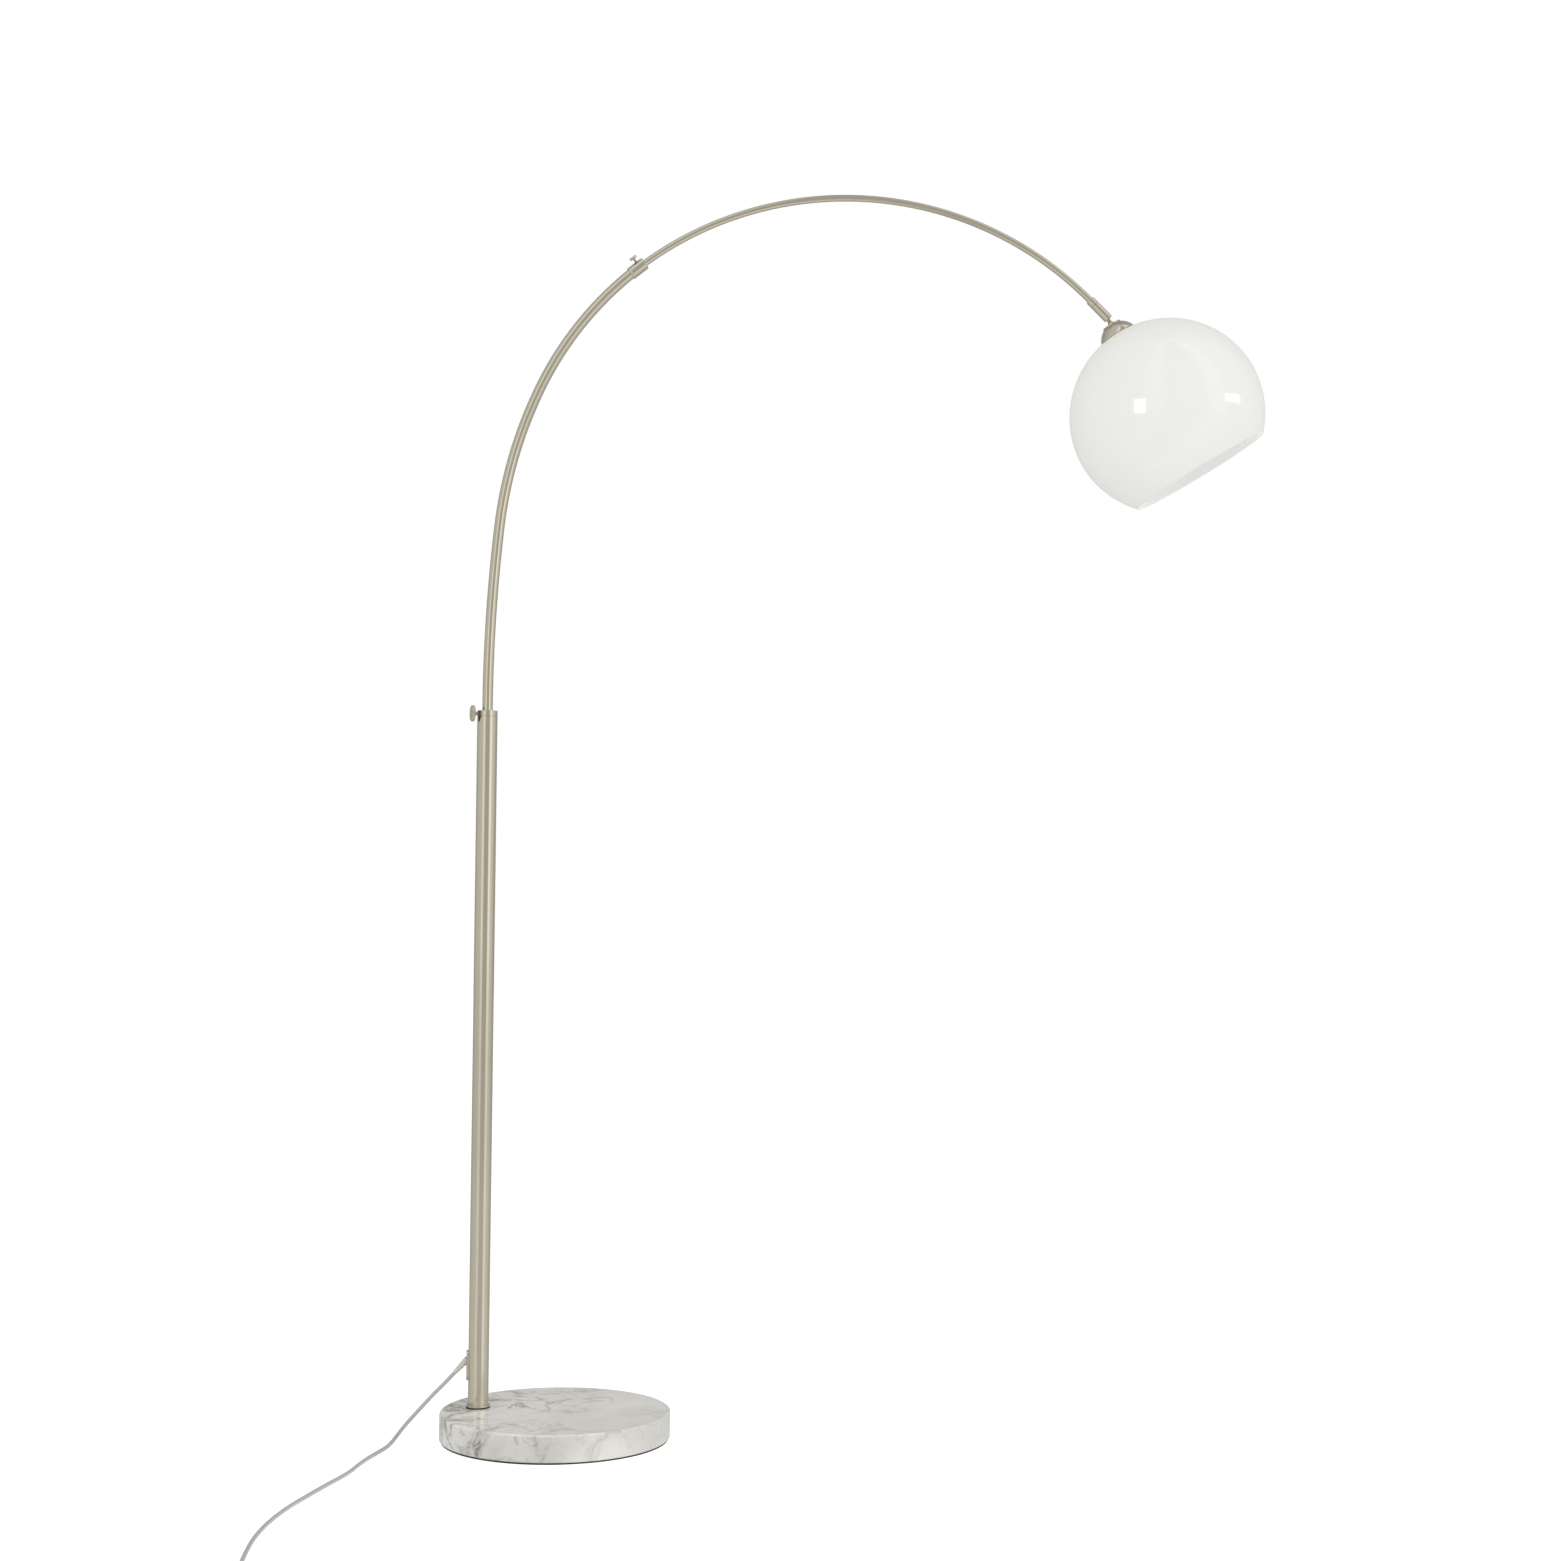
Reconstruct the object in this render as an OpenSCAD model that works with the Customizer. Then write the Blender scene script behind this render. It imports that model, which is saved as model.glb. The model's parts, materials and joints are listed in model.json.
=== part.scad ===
// Arc floor lamp: round stone base, two-piece pole, bowed telescopic arm, open globe shade.
// Millimetres. Origin at the centre of the base's underside, +Z up, +X the way the arm reaches.
// The arm lies in the plane y = pole_y. The lamp is drawn at its lowest height.

/* [Base] */
// Diameter of the stone
base_d = 300; // [280:2:360]
// Thickness of the stone
stone_t = 34.4; // [28:0.2:45]
// Rounding of the stone's edges
stone_edge_r = 2.5; // [1:0.5:6]
// Thickness of the pad under the stone
pad_t = 2; // [1:0.5:4]
// How far the pad's edge stands inside the stone's edge
pad_inset = 2; // [1:0.5:8]
// Distance from the middle of the base to the middle of the pole
pole_offset = 104; // [85:1:125]
// Turn of the arm away from the line over the middle of the base
arm_turn = 9; // [-30:1:30]
// Diameter of the bolt that holds the pole to the stone
bolt_d = 10; // [8:1:12]
// Depth of the recess for the bolt's head
recess_depth = 15; // [13:1:20]

/* [Pole] */
// Outer diameter of the pole
pole_d = 27; // [25:0.5:34]
// Wall of the pole
pole_wall = 1.5; // [1:0.1:1.7]
// Length of the lower pole section
lower_pole_l = 448.7; // [374:1:550]
// Length of the upper pole section
upper_pole_l = 459.7; // [383:1:560]
// Height of the cap that shows above the upper section
cap_h = 8; // [7.5:0.5:14]
// Height of the ring round the pole's foot
foot_ring_h = 3; // [2:0.5:6]
// Width of the ring beyond the pole
foot_ring_w = 1.8; // [1.2:0.1:5]
// Height of the cord's exit above the pole's foot
outlet_h = 61.3; // [53:0.1:120]

/* [Arm] */
// Outer diameter of the lower arc tube
lower_arc_d = 14; // [13:0.5:16]
// Wall of the lower arc tube
lower_arc_wall = 1.2; // [0.8:0.1:1.25]
// Length of the straight tail inside the pole
tail_l = 300; // [250:5:360]
// Radius of the first slight bend
ease_r = 2285; // [1900:5:2750]
// Turn of the first slight bend
ease_turn = 6; // [4:0.5:8]
// Radius of the second bend
bend_r = 600; // [500:5:720]
// Direction at which the second bend ends, from straight up
bend_end = 25; // [20:1:26]
// Radius that the telescoping tubes share
arc_r = 460; // [383:1:552]
// Direction of the arm at the foot of the collar
collar_angle = 49.9; // [47:0.1:60]
// Length of the collar along the arm
collar_l = 24.4; // [20:0.2:32]
// Outer diameter of the collar
collar_d = 17; // [16.8:0.1:22]
// Outer diameter of the upper arc tube
upper_arc_d = 9; // [7.5:0.1:9.5]
// Wall of the upper arc tube
upper_arc_wall = 1; // [0.6:0.1:1.2]
// Direction of the arm at the inner end of the upper tube
inner_end_angle = 43; // [42:0.5:44]
// Direction of the arm at the start of the end sleeve
sleeve_angle = 135.64; // [120:0.5:145]

/* [Swivel] */
// Outer diameter of the end sleeve
sleeve_d = 12.6; // [12.5:0.1:16]
// Length of the sleeve's upper nut
ferrule_l = 9.6; // [8:0.2:11]
// Length of the sleeve from its upper end to its mouth
sleeve_l = 36; // [35:0.5:42]
// Tilt of the shade from straight down
shade_tilt = 30.8; // [10:1:50]
// Distance from the tilt pin to the top of the disc on the shade's cap
neck_l = 11.5; // [10.5:0.5:16]

/* [Shade] */
// Outer diameter of the globe
shade_d = 262; // [218:1:315]
// Wall of the globe
shade_wall = 2.2; // [1.5:0.1:3]
// Distance from the globe's middle to the plane of its opening
opening_drop = 88.8; // [74:1:100]
// Diameter of the dome that covers the globe's top
cap_rim_d = 50.4; // [50:0.5:60]
// Height of the dome
cap_dome_h = 14.5; // [14:0.5:20]
// Diameter of the disc on the dome
cap_disc_d = 26; // [22:0.5:30]
// Thickness of the disc on the dome
cap_disc_t = 2; // [1.5:0.5:4]
// Diameter of the bulb's glass
bulb_d = 60; // [50:1:80]
// Length of the bulb with its cap
bulb_l = 105; // [95:1:125]

/* [Thumb screws] */
// Diameter of the pole's thumb screw head
pole_knob_d = 22; // [18:0.5:28]
// Thickness of the pole's thumb screw head
pole_knob_t = 4.5; // [3.5:0.5:8]
// Direction of the pole's thumb screw, round the pole
pole_knob_turn = 198; // [100:1:260]
// Diameter of the collar's thumb screw head
collar_knob_d = 10.4; // [9:0.2:14]
// Thickness of the collar's thumb screw head
collar_knob_t = 3.5; // [2.5:0.5:6]
// Turn of the collar's thumb screw round the arm
collar_knob_turn = 15; // [-40:1:40]

/* [Lead] */
// Diameter of the mains lead outside the lamp
cord_d = 5; // [4.5:0.5:6]
// Diameter of the lead inside the tubes
inner_lead_d = 4.4; // [3:0.1:4.8]
// Length of the foot switch
switch_l = 62; // [56:1:80]
// Width of the foot switch
switch_w = 28; // [26:1:40]
// Height of the foot switch's casing
switch_h = 16; // [15:0.5:22]
// Diameter of the foot switch's button
button_d = 16; // [12:0.5:20]

/* [Hidden] */

$fn = 96;

// clearances
run_fit = 0.05;      // radial play of what turns or slides in a bore
guide_fit = 0.1;     // radial play of the guides inside the tubes
seat_gap = 0.15;     // gap in front of a thumb screw's pad
eps = 0.01;

// levels
base_top = pad_t + stone_t;
gasket_t = 1.2;
pole_z = base_top + gasket_t;
seam_t = 0.6;
upper_pole_z = pole_z + lower_pole_l + seam_t;
cap_z = upper_pole_z + upper_pole_l;
cap_top = cap_z + cap_h;
tail_top = cap_top + 10;      // the straight tail ends a little above the cap
pole_x = -pole_offset * cos(arm_turn);
pole_y = pole_offset * sin(arm_turn);
pole_r = pole_d / 2;
pole_bore_r = pole_r - pole_wall;

// base fixing
washer_t = 2.5;
bolt_head_t = 6.4;
bolt_hex_d = 1.96 * bolt_d;
recess_r = bolt_hex_d / 2 + 6;
recess_top = pad_t + recess_depth;
plug_h = 26;

// pole fittings
coupler_l = 60;
coupler_bore_r = 8.5;
groove_depth = 0.4;
cap_spigot_l = 30;
bush_wall = 2.4;
bush_r = lower_arc_d / 2 + run_fit + bush_wall;
bush_l = 22;
bush_top = cap_top - 0.6;
screw_z = cap_z + cap_h / 2;
pole_screw_d = 5;
pad_disc_t = 1.5;
pole_pad_r0 = bush_r + seat_gap;
pole_knob_r0 = pole_r + 4.25;

// cord exit
outlet_z = pole_z + outlet_h - 7.8;
exit_z = pole_z + outlet_h;
outlet_w = 14;
outlet_len = 39;
outlet_t = 2.5;
relief_l = 24;
relief_angle = 47;            // below the horizontal
relief_x = pole_x - pole_r - 1.2;
lead_turn_r = 10;
lead_slack = 52;              // room for the loop that lets the arm slide and turn

// arm: centres and ends of its bends, measured from the pole's axis
ease_end = [ease_r * (1 - cos(ease_turn)), tail_top + ease_r * sin(ease_turn)];
bend_centre = ease_end + bend_r * [cos(ease_turn), -sin(ease_turn)];
bend_stop = bend_centre + bend_r * [-cos(bend_end), sin(bend_end)];
arc_centre = bend_stop + arc_r * [cos(bend_end), -sin(bend_end)];
function arc_span(length) = length / arc_r * 180 / PI;
collar_end = collar_angle + arc_span(collar_l);
tube_in_collar = arc_span(9.6);
liner_l = 4.8;
collar_screw_angle = collar_angle + arc_span(15.6);
collar_screw_d = 3;
collar_pad_r0 = upper_arc_d / 2 + seat_gap;
collar_pad_t = 1;
collar_knob_r0 = collar_d / 2 + 4.7;
lower_arc_r = lower_arc_d / 2;
lower_bore_d = lower_arc_d - 2 * lower_arc_wall;
upper_bore_d = upper_arc_d - 2 * upper_arc_wall;
guide_l = 12;
inner_guide_l = 8;
lower_lead_end = 24.5;
lower_lead_z = tail_top - tail_l - 15;
pole_lead_top = lower_lead_z - lead_slack;

// end sleeve and swivel, measured along the sleeve from its upper end
tube_in_sleeve = 12;
spigot_l = 6.2;
spigot_d = upper_arc_d + 1.9;
shoulder = ferrule_l + 7.9;
counterbore_d = spigot_d + 2 * run_fit;
fork_d = counterbore_d - 0.5;
fork_play = run_fit;
fork_flange_t = 1.45;
pin_place = sleeve_l - 3;
fork_slot_w = 4.8;
tongue_w = fork_slot_w - 4 * run_fit;
pin_d = 2;
eye_r = 3.8;
lead_hole_d = 5;

// shade, measured down its own axis from the tilt pin
disc_bottom = neck_l + cap_disc_t;
cap_rim = disc_bottom + cap_dome_h;
shade_r = shade_d / 2;
shade_centre = cap_rim + sqrt(pow(shade_r, 2) - pow(cap_rim_d / 2, 2)) + 1;
cap_wall = 1;
cap_top_r = cap_disc_d / 2;
cap_rim_r = cap_rim_d / 2;
// radius and centre of the dome through its top edge and its rim
dome_sum = (pow(cap_rim_r, 2) - pow(cap_top_r, 2) - pow(cap_dome_h, 2)) / (2 * cap_dome_h);
dome_r = sqrt(pow(cap_rim_r, 2) + pow(dome_sum, 2));
dome_centre = cap_rim + dome_sum;
nipple_d = 8;
nipple_bore = 5;
nut_t = 4;
holder_top = disc_bottom + cap_wall + nut_t + 0.6;
holder_flange = cap_rim - 2.1;
holder_flange_t = 1.9;
holder_flange_r = 22.5;
skirt_r = 19.9;
skirt_end = cap_rim + 41;
neck_hole_r = 21;
ring_r = 28;
ring_bore_r = skirt_r + 0.2;
ring_top = shade_centre - sqrt(pow(shade_r - shade_wall, 2) - pow(ring_r, 2)) + 0.1;
ring_t = 5;
screw_cap_r = 13.1;
screw_cap_l = 25;
screw_cap_wall = 1;
bulb_top = cap_rim + 14;
bulb_centre = bulb_top + bulb_l - bulb_d / 2;
bulb_neck_r = 13.4;
bulb_wall = 1;
core_top = holder_flange + holder_flange_t + 1;

// free lead: the middle line of its route on the floor, chosen by hand
cord_route = [[-133.8, 16.3, 81.4], [-148, 16.2, 66.4], [-162, 16, 52.5], [-175, 14.5, 38.5],
    [-187, 11, 25.5], [-197, 4, 14.5], [-203.5, -9, 6.5], [-207, -32, 2.5], [-210, -66, 2.5],
    [-217, -98, 2.5], [-224, -130, 2.5], [-229, -162, 2.5], [-233, -194, 2.5], [-240, -226, 2.5],
    [-248, -256, 2.5], [-256, -288, 2.5], [-264, -322, 2.5], [-272, -358, 2.5], [-278, -394, 2.5],
    [-282, -430, 2.5], [-284, -466, 2.5], [-284, -502, 2.5], [-282, -538, 2.5], [-279, -574, 2.5],
    [-275, -610, 3], [-272, -636, 5.6], [-271, -652, 7], [-271, -663, 7]];
after_switch = [[-271, -711, 7], [-271, -722, 7], [-271.5, -731, 5.8], [-274, -742, 3.5], [-279, -752, 2.5]];
before_plug = [[-238, -794.5, 7.5], [-228, -794.5, 7.5], [-218, -794, 7.5], [-209, -791.5, 7.5],
    [-201.5, -785.5, 7.4], [-197.3, -777, 7.2], [-196, -767.5, 7], [-196, -755, 7]];
cord_sides = 10;
steps_per_span = 3;
switch_at = [-271, -687];
switch_mid_h = 7;
switch_wall = 2;
button_lift = 2.2;
coil_at = [-248, -764];
coil_mid_r = 28;
coil_turns_wide = 2;
coil_turns_high = 3;
tie_bore_w = coil_turns_wide * cord_d + 1;      // the turns bow out a little across the tie's width
tie_bore_h = coil_turns_high * cord_d + 0.2;
tie_t = 1.2;
plug_at = [-196, -743];
plug_mid_h = 7;
pin_gap = 19;

// ---------- helpers ----------

module at_pole(z = 0) translate([pole_x, pole_y, z]) children();

// moves in whole millimetres, then in tenths of microns, then by what is left,
// so that long moves keep all their decimals and curved pieces meet exactly
module exactly(v) {
    whole = [for (part = v) round(part)];
    fine = [for (i = [0:2]) round((v[i] - whole[i]) * 10000) / 10000];
    translate(whole) translate(fine) translate(v - whole - fine) children();
}

// local +Z along the arm, local -X away from the arc's centre
module on_arc(angle)
    at_pole() exactly([arc_centre[0] - arc_r * cos(angle), 0, arc_centre[1] + arc_r * sin(angle)])
        rotate([0, angle, 0]) children();

// sweeps a round section about a centre in the arm's plane, from direction a0 to a1
module arc_sweep(centre, radius, a0, a1)
    at_pole() exactly([centre[0], 0, centre[1]]) rotate([90, 0, 0])
        rotate_extrude(angle = a0 - a1, start = 180 - a0, $fn = 720) translate([radius, 0]) children();

module main_sweep(a0, a1) arc_sweep(arc_centre, arc_r, a0, a1) children();

module annulus(outer_d, bore_d)
    difference() {
        circle(d = outer_d, $fn = 48);
        circle(d = bore_d, $fn = 48);
    }

module tube(d, bore, h)
    difference() {
        cylinder(d = d, h = h);
        translate([0, 0, -eps]) cylinder(d = bore, h = h + 2 * eps);
    }

// a disc whose two edges are rounded
module rounded_disc(d, t, r)
    rotate_extrude() {
        square([d / 2 - r, t]);
        translate([0, r]) square([d / 2, t - 2 * r]);
        translate([d / 2 - r, 0]) intersection() {
            union() {
                translate([0, r]) circle(r = r, $fn = 32);
                translate([0, t - r]) circle(r = r, $fn = 32);
            }
            square([r + 1, t]);
        }
    }

// a thumb screw's head: fluted rim, rounded edges, shallow dish on the outer face
module thumb_head(d, t, flutes, boss_d, boss_h) {
    difference() {
        rounded_disc(d, t, t * 0.22);
        for (i = [0:flutes - 1]) rotate([0, 0, i * 360 / flutes])
            translate([d / 2 + 0.25, 0, -eps]) cylinder(d = 1.1, h = t + 2 * eps, $fn = 16);
        translate([0, 0, t - 0.5]) cylinder(d = d * 0.62, h = 1);
    }
    translate([0, 0, -boss_h]) cylinder(d = boss_d, h = boss_h + eps);
}

// local +Z straight out of the pole along its thumb screw
module along_pole_screw() at_pole(screw_z) rotate([0, 0, pole_knob_turn]) rotate([0, 90, 0]) children();

module along_collar_screw()
    on_arc(collar_screw_angle) rotate([0, 0, collar_knob_turn]) rotate([0, -90, 0]) children();

// local origin at the sleeve's upper end, local +Z towards its mouth
module on_sleeve() on_arc(sleeve_angle) children();

// local origin at the tilt pin, local -Z down the shade's axis
module on_shade()
    on_sleeve() translate([0, 0, pin_place]) rotate([0, -sleeve_angle - shade_tilt, 0]) children();

module stadium(length, width) {
    square([length - width, width], center = true);
    for (side = [-1, 1]) translate([side * (length - width) / 2, 0]) circle(d = width);
}

// ---------- base ----------

module marble_base() color("gainsboro")
    difference() {
        translate([0, 0, pad_t]) rounded_disc(base_d, stone_t, stone_edge_r);
        at_pole(pad_t - eps) cylinder(d = bolt_d + 1, h = stone_t + 1);
        at_pole(pad_t - eps) cylinder(r = recess_r, h = recess_depth + eps);
    }

module base_pad() color("black")
    cylinder(d = base_d - 2 * pad_inset, h = pad_t);

module base_bolt() color("dimgray") at_pole(recess_top - washer_t - bolt_head_t) {
    cylinder(d = bolt_hex_d, h = bolt_head_t, $fn = 6);
    cylinder(d = bolt_d, h = bolt_head_t + washer_t + base_top - recess_top + gasket_t + plug_h - 4);
}

module base_washer() color("silver")
    at_pole(recess_top - washer_t) tube(bolt_d * 2.4, bolt_d + 0.6, washer_t);

module foot_plug() color("dimgray")
    at_pole(pole_z) tube(2 * pole_bore_r - 0.1, bolt_d + 0.1, plug_h);

module foot_gasket() color("black")
    at_pole(base_top) tube(pole_d + 2 * foot_ring_w + 0.8, bolt_d + 2, gasket_t);

module foot_ring() color("lightgray") at_pole(pole_z)
    difference() {
        rounded_disc(pole_d + 2 * foot_ring_w, foot_ring_h, 0.8);
        translate([0, 0, -1]) cylinder(d = pole_d + 0.1, h = foot_ring_h + 2);
    }

// ---------- pole ----------

module lower_pole() color("tan") at_pole(pole_z)
    difference() {
        tube(pole_d, 2 * pole_bore_r, lower_pole_l);
        translate([0, 0, outlet_z - pole_z]) rotate([0, -90, 0])
            linear_extrude(pole_d) stadium(outlet_len - 6, outlet_w - 5);
    }

module upper_pole() color("tan")
    at_pole(upper_pole_z) tube(pole_d, 2 * pole_bore_r, upper_pole_l);

module pole_coupler() color("gray") at_pole(upper_pole_z - seam_t)
    difference() {
        union() {
            translate([0, 0, -coupler_l / 2]) cylinder(r = pole_bore_r - 0.05, h = coupler_l + seam_t);
            cylinder(r = pole_r - groove_depth, h = seam_t);
        }
        translate([0, 0, -coupler_l]) cylinder(r = coupler_bore_r, h = 2 * coupler_l);
    }

module pole_cap() color("tan") difference() {
    at_pole(cap_z) {
        translate([0, 0, -cap_spigot_l]) cylinder(r = pole_bore_r - 0.05, h = cap_spigot_l + 1);
        cylinder(r = pole_r - groove_depth, h = 1);
        translate([0, 0, 0.6]) rounded_disc(pole_d, cap_h - 0.6, 0.7);
    }
    at_pole(bush_top - bush_l - 0.1) cylinder(r = bush_r + run_fit, h = bush_l + 10);
    at_pole(cap_z - cap_spigot_l - 1) cylinder(r = lower_arc_r + 0.6, h = cap_spigot_l + cap_h);
    along_pole_screw() cylinder(d = pole_screw_d + 2 * run_fit, h = pole_d);
}

// ---------- cord exit and the lead inside the pole ----------

// the hole that the lead runs out through, from the pole's axis
module exit_hole(length)
    at_pole(exit_z) rotate([0, -90, 0]) cylinder(d = inner_lead_d + 0.2, h = length);

module cord_outlet() color("darkgray") difference() {
    at_pole(outlet_z) {
        intersection() {
            rotate([0, -90, 0]) linear_extrude(pole_d) stadium(outlet_len, outlet_w);
            translate([0, 0, -outlet_len]) difference() {
                cylinder(r = pole_r + outlet_t, h = 2 * outlet_len);
                translate([0, 0, -1]) cylinder(r = pole_r + 0.02, h = 2 * outlet_len + 2);
            }
        }
        intersection() {
            rotate([0, -90, 0]) linear_extrude(pole_d) stadium(outlet_len - 6.2, outlet_w - 5.2);
            translate([0, 0, -outlet_len]) difference() {
                cylinder(r = pole_r + 1, h = 2 * outlet_len);
                translate([0, 0, -1]) cylinder(r = pole_bore_r - 0.8, h = 2 * outlet_len + 2);
            }
        }
    }
    exit_hole(pole_d);
}

module cord_relief() color("gray") difference() {
    translate([relief_x, pole_y, exit_z]) rotate([0, -90 - relief_angle, 0]) {
        cylinder(d1 = 8.6, d2 = cord_d + 0.6, h = relief_l);
        for (i = [1:4]) translate([0, 0, i * 4.2 - 0.6]) cylinder(d = 9.1 - i * 0.6, h = 1.2);
    }
    exit_hole(pole_r + 0.1);
}

module pole_lead() color("whitesmoke") {
    at_pole(exit_z) rotate([0, -90, 0]) translate([0, 0, lead_turn_r])
        cylinder(d = inner_lead_d, h = pole_r - lead_turn_r);
    at_pole(exit_z + lead_turn_r) translate([-lead_turn_r, 0, 0]) rotate([90, 0, 0])
        rotate([0, 0, -90]) rotate_extrude(angle = 90) translate([lead_turn_r, 0])
            circle(d = inner_lead_d, $fn = 32);
    at_pole(exit_z + lead_turn_r) cylinder(d = inner_lead_d, h = pole_lead_top - exit_z - lead_turn_r);
}

// ---------- free lead ----------

function catmull(a, b, c, d, t) = 0.5 * (2 * b + (c - a) * t + (2 * a - 5 * b + 4 * c - d) * t * t
    + (3 * b - a - 3 * c + d) * t * t * t);
function smooth_route(p, n) = let (q = concat([2 * p[0] - p[1]], p, [2 * p[len(p) - 1] - p[len(p) - 2]]))
    concat([for (i = [1:len(p) - 1], k = [0:n - 1]) catmull(q[i - 1], q[i], q[i + 1], q[i + 2], k / n)],
        [p[len(p) - 1]]);
function unit(v) = v / norm(v);
function heading(p, i) = unit(p[min(i + 1, len(p) - 1)] - p[max(i - 1, 0)]);
function ring_points(centre, along, r, sides) =
    let (side = unit(cross(along, [0, 0, 1])), up = cross(side, along))
    [for (k = [0:sides - 1]) centre + r * (cos(360 * k / sides) * side + sin(360 * k / sides) * up)];

// a round tube swept along the points
module swept_tube(points, d, sides) {
    rings = [for (i = [0:len(points) - 1]) ring_points(points[i], heading(points, i), d / 2, sides)];
    polyhedron(
        points = [for (ring = rings) each ring],
        faces = concat(
            [[for (k = [0:sides - 1]) k]],
            [for (i = [0:len(points) - 2], k = [0:sides - 1]) let (a = i * sides, next = (k + 1) % sides)
                [a + k, a + sides + k, a + sides + next, a + next]],
            [[for (k = [sides - 1:-1:0]) (len(points) - 1) * sides + k]]),
        convexity = 10);
}

module mains_cord() color("lightgray")
    swept_tube(smooth_route(cord_route, steps_per_span), cord_d, cord_sides);

module switch_cord() color("lightgray")
    swept_tube(smooth_route(after_switch, steps_per_span), cord_d, cord_sides);

module at_coil(z = 0) translate([coil_at[0], coil_at[1], z]) children();

// the turns' outer shape: a ring with rounded edges
module cord_coil() color("lightgray") at_coil() rotate_extrude() translate([coil_mid_r, 0])
    intersection() {
        translate([0, coil_turns_high * cord_d / 2])
            square([coil_turns_wide * cord_d, coil_turns_high * cord_d], center = true);
        translate([0, coil_turns_high * cord_d / 2])
            circle(r = norm([coil_turns_wide, coil_turns_high]) * cord_d / 2 - 0.8);
    }

module coil_tie() color("black") at_coil() rotate([0, 0, 40]) translate([coil_mid_r, 0, 0])
    rotate([90, 0, 0]) linear_extrude(8, center = true) {
        difference() {
            translate([-tie_bore_w / 2 - tie_t, 0]) square([tie_bore_w + 2 * tie_t, tie_bore_h + tie_t]);
            translate([-tie_bore_w / 2, -1]) square([tie_bore_w, tie_bore_h + 1]);
        }
    }

module plug_cord() color("lightgray")
    swept_tube(smooth_route(before_plug, steps_per_span), cord_d, cord_sides);

module at_plug(z = 0) translate([plug_at[0], plug_at[1], z]) children();

module plug_body() color("lightgray") at_plug(plug_mid_h) {
    rotate([-90, 0, 0]) linear_extrude(26) stadium(35.3, 13.8);
    rotate([90, 0, 0]) cylinder(d1 = 12, d2 = 6.4, h = 12);
}

module plug_pins() color("silver") for (side = [-1, 1])
    at_plug(plug_mid_h) translate([side * pin_gap / 2, 26, 0]) rotate([-90, 0, 0]) {
        cylinder(d = 4, h = 17.6);
        translate([0, 0, 17.6]) cylinder(d1 = 4, d2 = 2.6, h = 1.4);
    }

module at_switch(z = 0) translate([switch_at[0], switch_at[1], z]) children();

module switch_outline(inset = 0) rotate(90) stadium(switch_l - 2 * inset, switch_w - 2 * inset);

module switch_cord_holes() at_switch(switch_mid_h) rotate([90, 0, 0])
    cylinder(d = cord_d + 0.2, h = switch_l * 2, center = true);

switch_screw_x = 8;
module screw_places() for (side = [-1, 1])
    at_switch() translate([switch_screw_x, side * (switch_l / 2 - 12), 0]) children();

module switch_base() color("gray") difference() {
    at_switch() linear_extrude(switch_mid_h) switch_outline();
    at_switch(switch_wall) linear_extrude(switch_h) switch_outline(switch_wall);
    switch_cord_holes();
    screw_places() translate([0, 0, -1]) cylinder(d = 2.4, h = 10);
}

module switch_cover() color("silver") difference() {
    at_switch(switch_mid_h) linear_extrude(switch_h - switch_mid_h) switch_outline();
    at_switch(switch_mid_h - 1) linear_extrude(switch_h - switch_mid_h + 1 - switch_wall)
        switch_outline(switch_wall);
    at_switch() cylinder(d = button_d + 4 * run_fit, h = switch_h + 5);
    switch_cord_holes();
}

module switch_block() color("black")
    at_switch(switch_wall) translate([0, 0, 3]) cube([12, 18, 6], center = true);

module switch_screws() color("silver") screw_places() translate([0, 0, 0.2]) cylinder(d = 2.2, h = 6);

button_flange_t = 1.2;
button_top = switch_h + button_lift;

module switch_button() color("darkgray") at_switch() {
    translate([0, 0, switch_h - switch_wall - 0.2 - button_flange_t])
        cylinder(d = button_d + 3, h = button_flange_t);
    translate([0, 0, button_top - 5.4]) rounded_disc(button_d, 5.4, 0.9);
}

// ---------- pole thumb screw ----------

module pole_pad() color("gold") along_pole_screw() translate([0, 0, pole_pad_r0])
    cylinder(d = pole_screw_d - 0.1, h = pad_disc_t);

module pole_screw() color("silver") along_pole_screw() translate([0, 0, pole_pad_r0 + pad_disc_t + 0.05])
    cylinder(d = pole_screw_d, h = pole_knob_r0 - pole_pad_r0 - pad_disc_t - 0.05 - 1.2);

module pole_knob() color("silver") along_pole_screw() translate([0, 0, pole_knob_r0])
    thumb_head(pole_knob_d, pole_knob_t, 28, 9, 1.2);

// ---------- arm ----------

module swivel_bush() color("white")
    at_pole(bush_top - bush_l) tube(2 * bush_r, lower_arc_d + 2 * run_fit, bush_l);

module lower_arc() color("tan") {
    at_pole(tail_top - tail_l) tube(lower_arc_d, lower_bore_d, tail_l);
    arc_sweep([ease_r, tail_top], ease_r, 0, ease_turn) annulus(lower_arc_d, lower_bore_d);
    arc_sweep(bend_centre, bend_r, ease_turn, bend_end) annulus(lower_arc_d, lower_bore_d);
    main_sweep(bend_end, collar_angle + tube_in_collar) annulus(lower_arc_d, lower_bore_d);
}

module tail_guide() color("white")
    at_pole(tail_top - tail_l) tube(2 * pole_bore_r - 2 * guide_fit, lower_arc_d + 0.04, guide_l);

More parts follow.
